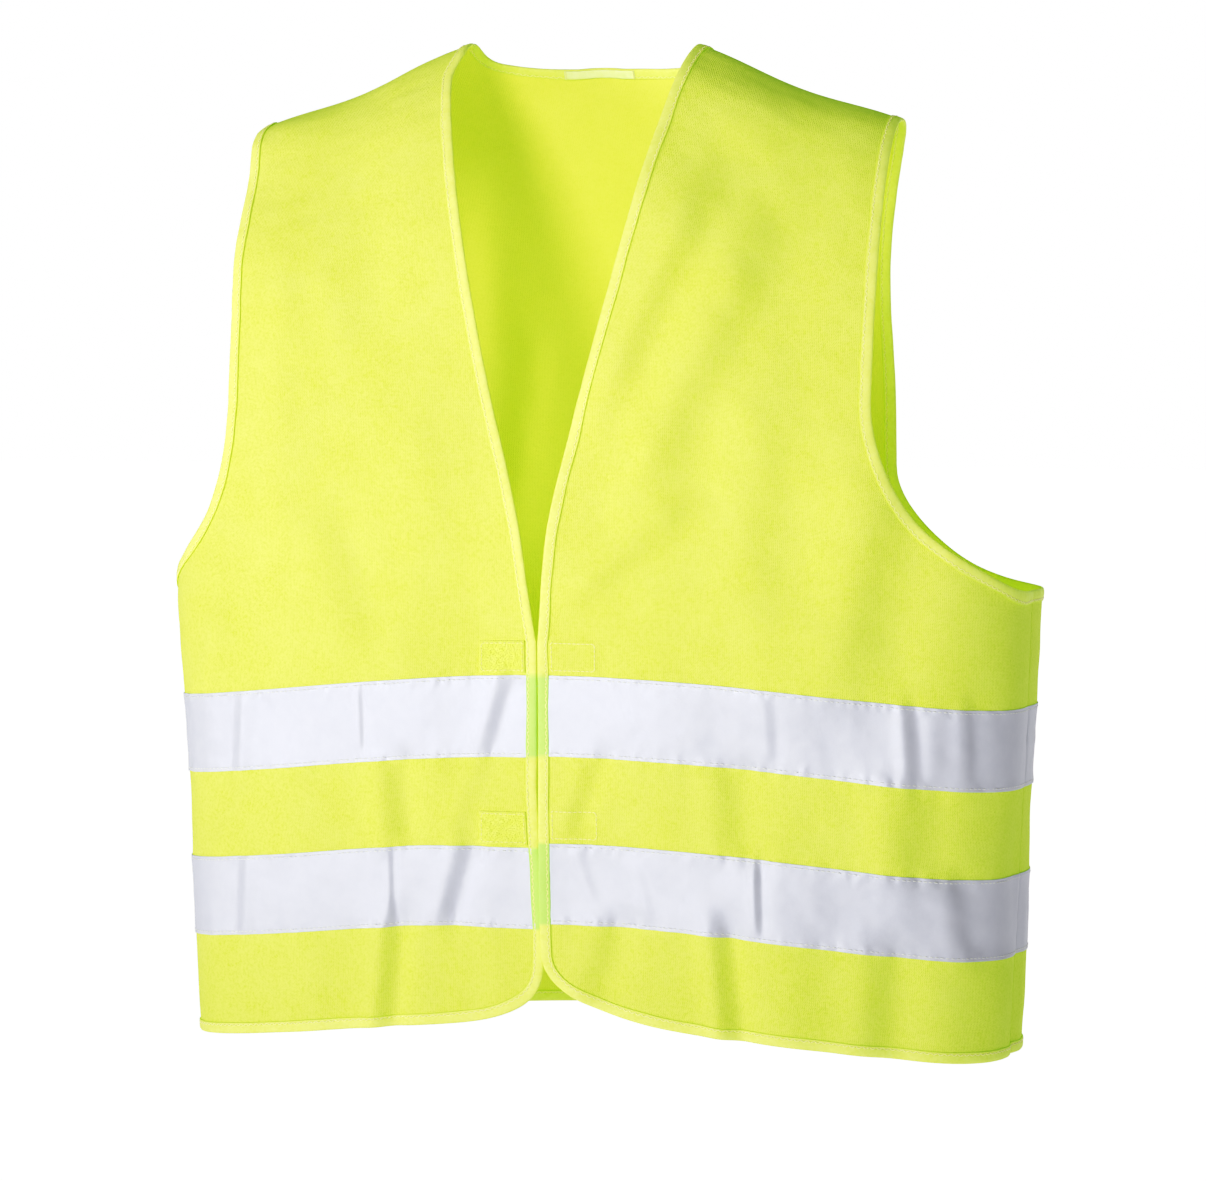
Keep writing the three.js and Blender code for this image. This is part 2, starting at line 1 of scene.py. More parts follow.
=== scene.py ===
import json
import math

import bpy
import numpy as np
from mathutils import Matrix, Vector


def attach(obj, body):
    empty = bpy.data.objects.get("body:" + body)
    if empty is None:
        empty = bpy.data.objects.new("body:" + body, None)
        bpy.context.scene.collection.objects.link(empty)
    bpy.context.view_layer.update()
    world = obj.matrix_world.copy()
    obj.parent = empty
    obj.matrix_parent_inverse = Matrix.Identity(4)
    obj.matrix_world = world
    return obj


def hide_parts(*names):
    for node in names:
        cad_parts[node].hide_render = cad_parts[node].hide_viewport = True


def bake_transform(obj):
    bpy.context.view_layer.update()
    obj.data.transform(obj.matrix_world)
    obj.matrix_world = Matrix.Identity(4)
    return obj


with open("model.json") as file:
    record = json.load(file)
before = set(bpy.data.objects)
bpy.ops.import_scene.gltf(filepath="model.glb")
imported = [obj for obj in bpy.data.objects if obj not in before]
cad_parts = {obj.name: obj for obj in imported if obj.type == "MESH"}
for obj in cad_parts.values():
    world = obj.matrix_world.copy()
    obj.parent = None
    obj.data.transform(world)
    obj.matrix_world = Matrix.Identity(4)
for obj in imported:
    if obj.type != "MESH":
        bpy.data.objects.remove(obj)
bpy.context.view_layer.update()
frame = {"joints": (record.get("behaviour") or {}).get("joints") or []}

# A lime high visibility vest with bound edges, two reflective bands and a hook-and-loop front.
#
# It hangs as if worn. Metres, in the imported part's frame: +Z up, the wearer faces -Y, the wearer's left is
# +X, and the origin is midway between the neck ends of the two shoulder seams.
#
# The cloth lies on one outside surface. A place on it is a half (FRONT or BACK), a turn round the body
# from the middle of that half, and a stature: the height above the hem as far as the chest, and from there
# on the way up over the shoulder's curve. Every sewn piece is laid on that surface, so all share its folds.

FRONT, BACK = -1, 1
SIDES = {"right": -1, "left": 1}
QUARTER = math.pi / 2

# ---- The body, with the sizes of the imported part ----
LENGTH = 0.628  # hem to the neck end of the shoulder seam
CHEST = 0.289  # hem to the bottom of the armhole
RISE = LENGTH - CHEST
TOP = CHEST + RISE * QUARTER  # the stature of the shoulder seam
HALF_WIDTH = (0.2625, 0.2775)  # at the hem and at the chest
SWAY = (0.0115, 0.011)  # how far the middle of the body lies to the left, at the hem and at the chest
SHOULDER_SWAY = -0.005  # the same at the neck and shoulders
DEPTH = {FRONT: (0.096, 0.102), BACK: (0.106, 0.112)}  # at the hem and at the chest
SQUARENESS = 3.2  # of the body's section, which is a superellipse
FRONT_RISE = 0.020  # how much higher the front hangs at its middle than at its sides
RISE_FALLOFF = 1.3
CHEST_EASE = 0.12  # how softly the sides turn upright at the chest, as a share of its height

# ---- Neck, shoulders, armholes and front edges ----
NECK_HALF_WIDTH = 0.078
NECK_PINCH = {"right": 0.008, "left": 0.0}  # how far the neck narrows where the seam meets it
SHOULDER_HALF_WIDTH = 0.2095
SHOULDER_SLOPE = 0.406
SHOULDER_ROUNDING = 0.060
SHOULDER_SAG = 0.005
V_BOTTOM = 0.238
# The neckline, as (height, half width).
NECK_EDGE = ((0.238, 0.001), (0.311, 0.0095), (0.404, 0.032), (0.506, 0.054), (0.628, 0.078))
NECK_LEAN_TO = 0.400  # the height from which the neckline is centred on the shoulders
BACK_NECK_ANGLE = math.radians(67.3)
BACK_NECK_LEVEL = math.radians(6.0)  # how much higher the neckline runs on the way to its corners
BACK_NECK_SQUARENESS = 6.0
ARMHOLE = {FRONT: (0.0, 0.420, 1.7), BACK: (0.029, 0.372, 1.9)}  # inward, straight from, squareness
ARMHOLE_LIFT = {FRONT: 0.0115, BACK: 0.0}  # how far the scoop's outer third is pulled up
BACK_FLARE_FROM = 0.440  # the height from which the back's armhole edge swings out to the shoulder
BACK_FLARE_POWER = 2.5
FRONT_GAP = 0.0008  # from the middle to each front's edge, at the closure
CORNER_HEIGHT = 0.047
CORNER = {"right": (0.105, 2.9), "left": (0.130, 2.35)}  # width, squareness
DROOP = 0.0035  # how far the right front's edge hangs below the left one's at the hem
DROOP_REACH = (-0.085, -0.004)  # the x where the droop starts and where it is full
DROOP_TOP = 0.200
DRIFT = -0.003  # how far the closure hangs to the wearer's right of the middle
DRIFT_TOP = 0.38
DRIFT_WIDTH = 0.06
EDGE_REACH = (-0.034, -0.010)  # the x where the right edge's tuck and pull start and where they are full
TUCK_DEPTH = 0.0027  # how far the right front's edge goes in behind the left one's, below TUCK_TOP
TUCK_TOP = 0.150
BACK_HEM_LIFT = 0.009  # how much higher the back hangs at the middle of its hem
BACK_HEM_LIFT_TOP = 0.180
# How far the right front's edge is pulled to the wearer's left, as (height, distance).
PULL = ((0.0, 0.001), (0.063, 0.004), (0.100, 0.003), (0.120, 0.0016), (0.150, 0.0008), (0.167, 0.0012),
        (0.238, 0.0012), (0.275, 0.0))

# ---- Cloth, tape and thread ----
CLOTH = (0.0, -0.0005)  # outer and inner face, along the outward normal
BAND = (0.00065, 0.0003)  # the same
BAND_WIDTH = 0.050
BAND_BOTTOM = {"lower": 0.063, "upper": 0.167}
BAND_EDGES = [bottom + up for bottom in BAND_BOTTOM.values() for up in (0, BAND_WIDTH)]
BINDING_WIDTH = 0.0072
BINDING_STITCH = BINDING_WIDTH - 0.0016  # from the vest's edge to the binding's line of stitches
UNDER_BINDING = 0.0022  # how far inside the vest's edge the cloth ends
PAD = (0.030, 0.020)
PAD_START = 0.0085  # from the middle of the vest, so that one end is caught under the binding
PAD_BOTTOM = {level: bottom + BAND_WIDTH + 0.0016 for level, bottom in BAND_BOTTOM.items()}
PAD_THICKNESS = 0.0008
PAD_CROWN = 0.1
PAD_PRINT = 0.0007  # how far the hook pads press out the cloth in front of them
LABEL = (0.048, 0.0058)
SEAM_ALLOWANCE = 0.007
GRID = 0.0023  # how far apart the cloth's points are
STITCH_PITCH = 0.0033
ZIGZAG_PITCH = 0.0021

# ---- The folds, as lines from (x, height) to (x, height), with a width and a depth ----
# A positive depth of a "ridge" stands out, and that of a "step" falls away to the wearer's left.
FOLDS = {
    FRONT: (
        # The right front, from the shoulder to the hem.
        ("ridge", (-0.176, 0.560), (-0.180, 0.290), 0.0170, 0.0044),
        ("step", (-0.150, 0.600), (-0.120, 0.420), 0.0240, 0.0016),
        ("step", (-0.150, 0.350), (-0.112, 0.225), 0.0180, 0.0014),
        ("ridge", (-0.090, 0.400), (-0.060, 0.250), 0.0170, 0.0012),
        ("ridge", (-0.216, 0.278), (-0.232, 0.212), 0.0080, 0.0024),
        ("step", (-0.206, 0.226), (-0.210, 0.160), 0.0080, -0.0018),
        ("step", (-0.1185, 0.226), (-0.1175, 0.166), 0.0032, 0.0009),
        ("step", (-0.018, 0.226), (-0.037, 0.160), 0.0088, 0.0021),
        ("ridge", (-0.198, 0.168), (-0.224, 0.108), 0.0080, 0.0026),
        ("ridge", (-0.168, 0.176), (-0.174, 0.104), 0.0150, 0.0014),
        ("step", (-0.099, 0.176), (-0.094, 0.106), 0.0125, 0.0034),
        ("ridge", (-0.036, 0.172), (-0.064, 0.110), 0.0080, 0.0020),
        ("step", (-0.204, 0.124), (-0.208, 0.056), 0.0080, -0.0018),
        ("step", (-0.0985, 0.122), (-0.0975, 0.062), 0.0034, 0.0010),
        ("step", (-0.045, 0.124), (-0.066, 0.056), 0.0094, 0.0023),
        ("step", (-0.096, 0.084), (-0.108, -0.020), 0.0105, 0.0040),
        ("ridge", (-0.150, 0.060), (-0.156, -0.020), 0.0180, 0.0018),
        # The left front.
        ("ridge", (0.100, 0.560), (0.028, 0.360), 0.0140, 0.0095),
        ("ridge", (0.138, 0.540), (0.052, 0.310), 0.0180, 0.0112),
        ("ridge", (0.010, 0.256), (0.100, 0.340), 0.0110, 0.0052),
        ("step", (0.150, 0.440), (0.140, 0.240), 0.0260, 0.0030),
        ("step", (0.226, 0.400), (0.196, 0.200), 0.0260, 0.0046),
        ("ridge", (0.055, 0.226), (0.063, 0.182), 0.0042, 0.0007),
        ("step", (0.144, 0.228), (0.147, 0.162), 0.0060, 0.0008),
        ("step", (0.228, 0.228), (0.231, 0.160), 0.0065, 0.0017),
        ("step", (0.262, 0.228), (0.262, 0.160), 0.0070, 0.0022),
        ("step", (0.040, 0.180), (0.018, 0.110), 0.0085, 0.0018),
        ("step", (0.118, 0.178), (0.120, 0.102), 0.0150, 0.0024),
        ("step", (0.230, 0.180), (0.226, 0.100), 0.0200, 0.0036),
        ("ridge", (0.022, 0.118), (0.034, 0.074), 0.0050, 0.0011),
        ("ridge", (0.058, 0.110), (0.070, 0.064), 0.0046, 0.0013),
        ("step", (0.1365, 0.124), (0.1385, 0.060), 0.0040, 0.0014),
        ("step", (0.252, 0.124), (0.260, 0.056), 0.0100, 0.0024),
        ("step", (0.050, 0.080), (0.028, 0.006), 0.0140, 0.0026),
        ("step", (0.112, 0.086), (0.122, -0.020), 0.0105, 0.0038),
        ("ridge", (0.164, 0.076), (0.158, -0.020), 0.0200, 0.0024),
        ("step", (0.214, 0.084), (0.206, -0.020), 0.0190, 0.0042),
    ),
    BACK: (
        ("ridge", (-0.170, 0.520), (-0.205, 0.180), 0.0190, 0.0050),
        ("step", (-0.098, 0.560), (-0.120, 0.240), 0.0220, 0.0050),
        ("ridge", (0.010, 0.520), (-0.018, 0.100), 0.0240, 0.0056),
        ("step", (0.104, 0.540), (0.132, 0.230), 0.0200, -0.0050),
        ("ridge", (0.176, 0.500), (0.212, 0.170), 0.0190, 0.0048),
        ("ridge", (-0.060, 0.470), (-0.096, 0.270), 0.0140, 0.0034),
        ("step", (0.056, 0.440), (0.078, 0.250), 0.0150, -0.0034),
        ("step", (-0.150, 0.228), (-0.142, 0.160), 0.0075, 0.0024),
        ("step", (-0.046, 0.226), (-0.040, 0.162), 0.0034, 0.0010),
        ("step", (0.062, 0.228), (0.078, 0.160), 0.0080, -0.0026),
        ("step", (0.190, 0.228), (0.182, 0.158), 0.0060, -0.0020),
        ("step", (-0.110, 0.178), (-0.104, 0.104), 0.0130, 0.0032),
        ("ridge", (0.034, 0.176), (0.048, 0.106), 0.0090, 0.0024),
        ("step", (0.150, 0.176), (0.144, 0.104), 0.0130, -0.0030),
        ("step", (-0.188, 0.126), (-0.170, 0.056), 0.0085, 0.0028),
        ("step", (-0.080, 0.122), (-0.082, 0.060), 0.0034, 0.0010),
        ("step", (0.028, 0.124), (0.018, 0.056), 0.0075, -0.0024),
        ("step", (0.146, 0.124), (0.160, 0.056), 0.0080, -0.0026),
        ("ridge", (-0.130, 0.080), (-0.138, -0.010), 0.0150, 0.0036),
        ("step", (-0.020, 0.084), (-0.014, -0.020), 0.0120, 0.0036),
        ("ridge", (0.096, 0.080), (0.104, -0.010), 0.0150, 0.0036),
    ),
}


# ---- Small mathematics ----

def lerp(a, b, t):
    return a + (b - a) * t


def ease(value, start, end):
    """0 before start and 1 after end, and smooth between them."""
    t = np.clip((value - start) / (end - start), 0, 1)
    return t * t * (3 - 2 * t)


def within(value, start, end, blur=0.001):
    """1 between two values and 0 beyond them, with a short smooth change at each."""
    return ease(value - start, -blur, blur) * ease(end - value, -blur, blur)


def bell(away, width):
    """1 at no distance, falling smoothly to nothing."""
    return np.exp(-(away / width) ** 2)


def unit(vectors):
    return vectors / np.maximum(np.linalg.norm(vectors, axis=-1, keepdims=True), 1e-12)


def dot(a, b):
    return (a * b).sum(-1)


class Waves:
    """Smooth seeded noise over a plane: a sum of sine waves with lengths between two limits."""

    def __init__(self, seed, shortest, longest, count=14):
        rng = np.random.default_rng(seed)
        length = np.exp(rng.uniform(math.log(shortest), math.log(longest), count))
        heading = rng.uniform(0, 2 * math.pi, count)
        self.u = 2 * math.pi * np.cos(heading) / length
        self.v = 2 * math.pi * np.sin(heading) / length
        self.phase = rng.uniform(0, 2 * math.pi, count)

    def __call__(self, u, v):
        u, v = np.broadcast_arrays(u, v)
        total = np.zeros(u.shape)
        for a, b, phase in zip(self.u, self.v, self.phase):
            total += np.sin(a * u + b * v + phase)
        return total / math.sqrt(len(self.u) / 2)


# ---- The outside surface ----

def height_of(stature):
    """The cloth height, which the neck and armhole edges are drawn in."""
    angle = np.clip((stature - CHEST) / RISE, 0, QUARTER)
    return np.where(stature <= CHEST, stature, CHEST + RISE * np.sin(angle))


def stature_of(height):
    angle = np.arcsin(np.clip((height - CHEST) / RISE, 0, 1))
    return np.where(height <= CHEST, height, CHEST + RISE * angle)


def chest_share(stature):
    """0 at the hem and 1 from the chest up."""
    t = stature / CHEST
    return -CHEST_EASE * np.logaddexp(-t / CHEST_EASE, -1 / CHEST_EASE)


def shoulder_line(x):
    away = np.hypot(x - SHOULDER_SWAY, SHOULDER_ROUNDING)
    out = (np.abs(x - SHOULDER_SWAY) - NECK_HALF_WIDTH) / (SHOULDER_HALF_WIDTH - NECK_HALF_WIDTH)
    sag = SHOULDER_SAG * np.sin(math.pi * np.clip(out, 0, 1)) ** 2
    return LENGTH + SHOULDER_SLOPE * (math.hypot(NECK_HALF_WIDTH, SHOULDER_ROUNDING) - away) - sag


def section(turn):
    """A unit superellipse's point at a turn from its middle, as (across, along)."""
    sine, cosine = np.sin(turn), np.cos(turn)
    radius = (np.abs(sine) ** SQUARENESS + np.abs(cosine) ** SQUARENESS) ** (-1 / SQUARENESS)
    return sine * radius, cosine * radius


def middle(stature):
    return lerp(*SWAY, chest_share(stature))


def half_width(stature):
    return lerp(*HALF_WIDTH, chest_share(stature))


def x_of(turn, stature):
    return middle(stature) + half_width(stature) * section(turn)[0]


def turn_of(x, stature):
    across = np.clip((x - middle(stature)) / half_width(stature), -1, 1)
    along = (1 - np.abs(across) ** SQUARENESS) ** (1 / SQUARENESS)
    return np.arctan2(across, along)


def body(half, turn, stature):
    """The smooth outside surface, without folds."""
    half, turn, stature = np.broadcast_arrays(half, turn, stature)
    share = chest_share(stature)
    angle = np.maximum(stature - CHEST, 0) / RISE
    across, along = section(turn)
    x = lerp(*SWAY, share) + lerp(*HALF_WIDTH, share) * across
    front = half == FRONT
    depth = np.where(front, lerp(*DEPTH[FRONT], share), lerp(*DEPTH[BACK], share))
    bulge = np.cos(QUARTER * np.clip(np.abs(across), 0, 1)) ** RISE_FALLOFF
    base = np.minimum(stature, CHEST) + np.where(front, FRONT_RISE * bulge, 0)
    z = base + (shoulder_line(x) - base) * np.sin(angle)
    return np.stack([x, half * depth * along * np.cos(angle), z - LENGTH], -1)


PROBE = 5e-4


def slopes(half, turn, stature):
    """How the surface runs per unit of turn and per metre of stature."""
    round_it = body(half, turn + PROBE, stature) - body(half, turn - PROBE, stature)
    up_it = body(half, turn, stature + PROBE) - body(half, turn, stature - PROBE)
    return round_it / (2 * PROBE), up_it / (2 * PROBE)


def normal(half, turn, stature):
    round_it, up_it = slopes(half, turn, stature)
    return unit(np.cross(round_it, up_it)) * -np.asarray(half, float)[..., None]


# ---- Folds, puckers and the hang of the cloth ----

SWELL = {FRONT: Waves(11, 0.075, 0.190), BACK: Waves(12, 0.085, 0.210)}
RUMPLE = Waves(13, 0.022, 0.050, 22)
PUCKER = Waves(14, 0.0065, 0.015, 9)
SWELL_DEPTH = 0.0012
RUMPLE_DEPTH = 0.00014
PUCKER_DEPTH = 0.00030
PUCKER_REACH = 0.0055
# The shares of a fold's length, from either end, where it starts and where it is full.
FOLD_START, FOLD_FULL = -0.05, 0.28
FLAT_BY_SIDE = 0.16  # the turn over which folds die out at the side seams
FLAT_BY_SHOULDER = 0.10
SEAM_GROOVE = 0.0005
SEAM_GROOVE_WIDTH = 0.0022


def fold(x, height, kind, start, end, width, depth):
    run = np.subtract(end, start)
    length = math.hypot(*run)
    along = ((x - start[0]) * run[0] + (height - start[1]) * run[1]) / length**2
    # The distance to the left of a line that runs down the cloth.
    away = ((height - start[1]) * run[0] - (x - start[0]) * run[1]) / length / width
    fade = ease(along, FOLD_START, FOLD_FULL) * ease(1 - along, FOLD_START, FOLD_FULL)
    if kind == "ridge":
        return depth * fade * np.exp(-away**2)
    return -depth * fade * math.sqrt(2 * math.e) * away * np.exp(-away**2)


def puckers(x, height):
    """The pull of the four lines of stitches along the bands."""
    total = np.zeros_like(x)
    for number, edge in enumerate(BAND_EDGES):
        near = np.exp(-np.abs(height - edge) / PUCKER_REACH)
        total += PUCKER_DEPTH * near * PUCKER(x, 0.3 * number)
    return total


def relief(half, turn, stature, x):
    """How far the folded cloth stands out from the smooth surface."""
    height = height_of(stature)
    total = RUMPLE_DEPTH * RUMPLE(x + 0.6 * half, stature) + puckers(x, height)
    for side_of_body, folds in FOLDS.items():
        here = half == side_of_body
        if not np.any(here):
            continue
        swell = SWELL_DEPTH * SWELL[side_of_body](x, 0.6 * stature)
        for each in folds:
            swell = swell + fold(x, height, *each)
        total = total + np.where(here, swell, 0)
    total = total * ease(QUARTER - np.abs(turn), 0, FLAT_BY_SIDE) * ease(TOP - stature, 0, FLAT_BY_SHOULDER)
    return total + seam_grooves(turn, stature) + pad_print(half, x, height)


def pad_print(half, x, height):
    """The hook pads inside the left front press out its cloth."""
    pressed = sum(within(height, bottom, bottom + PAD[1]) for bottom in PAD_BOTTOM.values())
    return PAD_PRINT * (half == FRONT) * within(x, PAD_START, PAD_START + PAD[0]) * pressed


def seam_grooves(turn, stature):
    """Where two cloths are sewn edge to edge they dip into the seam."""
    to_side = np.abs(section(turn)[1]) * DEPTH[FRONT][0]
    to_shoulder = np.abs(TOP - stature) * DEPTH[BACK][0] / RISE
    side = bell(to_side, SEAM_GROOVE_WIDTH) * ease(stature, CHEST + 0.02, CHEST - 0.004)
    return -SEAM_GROOVE * (side + bell(to_shoulder, SEAM_GROOVE_WIDTH))


def cloth(half, turn, stature, out=0.0):
    """The point at a place of the folded cloth, moved out by a distance."""
    half, turn, stature = np.broadcast_arrays(half, turn, stature)
    points = body(half, turn, stature)
    x = points[..., 0]
    right = (half == FRONT) * (x < 0)
    near = right * ease(x, *EDGE_REACH)
    tuck = TUCK_DEPTH * near * ease(TUCK_TOP - stature, 0, 0.035)
    points = points + normal(half, turn, stature) * (relief(half, turn, stature, x) - tuck + out)[..., None]
    drift = DRIFT * ease(stature, -0.02, 0.10) * ease(DRIFT_TOP - stature, 0, 0.13)
    points[..., 0] += (half == FRONT) * drift * bell(x, DRIFT_WIDTH)
    points[..., 0] += near * np.interp(stature, *zip(*PULL))
    points[..., 2] -= DROOP * right * ease(x, *DROOP_REACH) * ease(DROOP_TOP - stature, 0, 0.110)
    back = (half == BACK) * np.cos(QUARTER * section(turn)[0]) ** 2
    points[..., 2] += BACK_HEM_LIFT * back * ease(BACK_HEM_LIFT_TOP - stature, 0, BACK_HEM_LIFT_TOP)
    return points


# ---- Edge curves, each inset by a distance from the vest's own edge ----

def neck_half_width(height):
    """Half the neck's width at a cloth height, by a cubic through NECK_EDGE."""
    heights, widths = np.array(NECK_EDGE).T
    before, after = np.r_[0, 0:len(heights) - 1], np.r_[1:len(heights), len(heights) - 1]
    grades = (widths[after] - widths[before]) / (heights[after] - heights[before])
    k = np.clip(np.searchsorted(heights, height) - 1, 0, len(heights) - 2)
    span = heights[k + 1] - heights[k]
    t = (height - heights[k]) / span
    first = (1 + 2 * t) * (1 - t) ** 2 * widths[k] + t * (1 - t) ** 2 * span * grades[k]
    return first + t * t * (3 - 2 * t) * widths[k + 1] - t * t * (1 - t) * span * grades[k + 1]


def inner_edge(side, height, inset=0.0):
    """The x of a front's inner edge: the round hem corner, then the closure, then the neckline."""
    sign = SIDES[side]
    width, squareness = CORNER[side]
    step = 0.001
    grade = (neck_half_width(np.minimum(height + step, LENGTH)) - neck_half_width(height)) / step
    lean = SHOULDER_SWAY * ease(height, V_BOTTOM, NECK_LEAN_TO)
    pinch = NECK_PINCH[side] * ease(height, LENGTH - 0.022, LENGTH)
    neckline = lean + sign * (neck_half_width(height) - pinch + inset * np.hypot(1, grade))
    down = np.clip((CORNER_HEIGHT - height) / (CORNER_HEIGHT - inset), 0, 1)
    reach = (1 - down**squareness) ** (1 / squareness)
    closure = sign * (FRONT_GAP + width - (width - inset) * reach)
    return np.where(height >= V_BOTTOM, neckline, closure)


def scoop_heights(half, shares, inset=0.0):
    """Cloth heights of the armhole's scoop, at shares of the way from the side seam to its straight part."""
    _, straight_from, squareness = ARMHOLE[half]
    drop = straight_from - CHEST + inset
    rise = 1 - (1 - shares**squareness) ** (1 / squareness)
    # The lift is greatest a third of the way in, where this cubic is 4/27.
    return CHEST - inset + drop * rise + ARMHOLE_LIFT[half] * shares * (1 - shares) ** 2 * 27 / 4


def outer_edge(half, side, height, inset=0.0):
    """The x of the armhole's edge: a scoop up from the side seam, then nearly straight up."""
    sign = SIDES[side]
    inward, straight_from, _ = ARMHOLE[half]
    seam = x_of(sign * QUARTER, stature_of(height))
    straight = SHOULDER_SWAY + sign * (SHOULDER_HALF_WIDTH - inward - inset)
    shares = np.linspace(0, 1, 400) ** 2
    scoop = np.interp(height, scoop_heights(half, shares, inset), shares)
    up = np.maximum(0, height - BACK_FLARE_FROM) / (LENGTH - BACK_FLARE_FROM)
    flare = sign * inward * up**BACK_FLARE_POWER
    return np.where(height < straight_from, lerp(seam, straight, scoop), straight + flare)


# ---- Meshes ----

def build(name, points, quads, finish, uv=None, loose=(), values=None):
    """A smooth mesh object from points, four-cornered faces and a few many-cornered ones."""
    mesh = bpy.data.meshes.new(name)
    mesh.vertices.add(len(points))
    mesh.vertices.foreach_set("co", np.asarray(points, np.float32).ravel())
    corners = np.concatenate([quads.ravel(), *loose]).astype(np.int32)
    sizes = np.array([4] * len(quads) + [len(face) for face in loose])
    mesh.loops.add(len(corners))
    mesh.loops.foreach_set("vertex_index", corners)
    mesh.polygons.add(len(sizes))
    starts = np.concatenate([[0], np.cumsum(sizes)[:-1]]).astype(np.int32)
    mesh.polygons.foreach_set("loop_start", starts)
    mesh.polygons.foreach_set("use_smooth", np.ones(len(sizes), bool))
    if uv is not None:
        layer = mesh.uv_layers.new(name="cloth")
        layer.data.foreach_set("uv", np.asarray(uv, np.float32)[corners].ravel())
    for label, each in (values or {}).items():
        attribute = mesh.attributes.new(label, "FLOAT", "POINT")
        attribute.data.foreach_set("value", np.asarray(each, np.float32).ravel())
    mesh.update(calc_edges=True)
    mesh.validate()
    mesh.materials.append(finish)
    obj = bpy.data.objects.new(name, mesh)
    bpy.context.scene.collection.objects.link(obj)
    return obj


def facing_out(points, quads):
    """The faces, turned round if they enclose a negative volume."""
    a, b, c, d = (points[quads[:, k]] for k in range(4))
    volume = dot(a, np.cross(b, c)).sum() + dot(a, np.cross(c, d)).sum()
    return quads[:, ::-1] if volume < 0 else quads


def grid_quads(rows, columns, wrap_rows=False, wrap_columns=False):
    i = np.arange(rows if wrap_rows else rows - 1)[:, None]
    j = np.arange(columns if wrap_columns else columns - 1)[None, :]
    a, b = i * columns + j, i * columns + (j + 1) % columns
    up = (i + 1) % rows * columns
    return np.stack([a, b, up + (j + 1) % columns, up + j], -1).reshape(-1, 4)


def end_caps(rows, columns):
    """The faces that close the two ends of a tube of rings."""
    first = np.arange(columns)
    return [first[::-1], first + (rows - 1) * columns]


def lengths_along(points, axis):
    """Running length of a grid's lines along one axis."""
    step = np.linalg.norm(np.diff(points, axis=axis), axis=-1)
    return np.insert(np.cumsum(step, axis=axis), 0, 0, axis=axis)


def shell(name, half, turn, stature, layer, finish, extra=0.0, keep=None):
    """A thin closed sheet over a grid of places, between two distances from the surface.

    Only the cells whose four corners are to be kept are made.
    """
    rows, columns = turn.shape
    quads = grid_quads(rows, columns)
    if keep is not None:
        quads = quads[keep.ravel()[quads].all(1)]
    used = np.unique(quads)
    number = np.zeros(rows * columns, int)
    number[used] = np.arange(len(used))
    face = number[quads]
    outer = cloth(half, turn, stature, layer[0] + extra)
    inner = cloth(half, turn, stature, layer[1] + extra)
    points = np.concatenate([outer.reshape(-1, 3)[used], inner.reshape(-1, 3)[used]])
    count = len(used)
    edges = np.concatenate([face[:, [k, (k + 1) % 4]] for k in range(4)])
    rim = edges[~np.isin(edges[:, 0] * count + edges[:, 1], edges[:, 1] * count + edges[:, 0])]
    wall = np.stack([rim[:, 1], rim[:, 0], rim[:, 0] + count, rim[:, 1] + count], -1)
    quads = facing_out(points, np.concatenate([face, face[:, ::-1] + count, wall]))
    across = lengths_along(outer, 1)
    across -= across[:, columns // 2:columns // 2 + 1]
    uv = np.stack([across, lengths_along(outer, 0)], -1).reshape(-1, 2)[used]
    inside = np.repeat([0.0, 1.0], count)
    return build(name, points, quads, finish, np.tile(uv, (2, 1)), values={"inside": inside})


def sleeve(name, rings, inset, run, finish, closed=False, values=None):
    """A solid strip along a path, from a ring of points at each station."""
    rows, columns = rings.shape[:2]
    points = rings.reshape(-1, 3)
    quads = grid_quads(rows, columns, wrap_rows=closed, wrap_columns=True)
    outward = facing_out(points, quads)
    caps = [] if closed else end_caps(rows, columns)
    if outward is not quads:
        caps = [cap[::-1] for cap in caps]
    uv = np.stack(np.broadcast_arrays(inset[None], run[:, None]), -1).reshape(-1, 2)
    return build(name, points, outward, finish, uv, caps, values)


# ---- Paths along the cloth: a half, a turn and a stature for each station ----

def path(half, x, height):
    stature = stature_of(np.asarray(height, float))
    return np.broadcast_arrays(np.asarray(half), turn_of(x, stature), stature)


def joined(*paths):
    return [np.concatenate(part) for part in zip(*paths)]


def resample(places, pitch, closed=False, start=0.0):
    """The same path with stations a pitch apart."""
    half, turn, stature = places
    run = lengths_along(body(half, turn, stature), 0)
    keep = np.concatenate([[True], np.diff(run) > 1e-7])
    run, half, turn, stature = run[keep], half[keep], turn[keep], stature[keep]
    count = max(2, round((run[-1] - 2 * start) / pitch) + 1)
    at = np.linspace(start, run[-1] - start, count)
    at = at[:-1] if closed else at
    index = np.clip(np.searchsorted(run, at, side="right") - 1, 0, len(run) - 2)
    share = (at - run[index]) / (run[index + 1] - run[index])
    # Between the last station of one half and the first of the other, the path stays on the nearer half.
    near = index + (share > 0.5)
    same = half[index] == half[index + 1]
    return [
        half[near],
        np.where(same, lerp(turn[index], turn[index + 1], share), turn[near]),
        np.where(same, lerp(stature[index], stature[index + 1], share), stature[near]),
    ]


def frames(places, towards, closed=False, away=False):
    """Tangents, normals and in-cloth directions of a path, the last one towards a place or away from it."""
    points = body(*places)
    if closed:
        tangent = unit(np.roll(points, -1, 0) - np.roll(points, 1, 0))
    else:
        tangent = unit(np.gradient(points, axis=0))
    out = normal(*places)
    inward = unit(np.cross(out, tangent))
    gain = dot(inward, np.asarray(towards) - points).sum() * (-1 if away else 1)
    return tangent, out, inward if gain > 0 else -inward


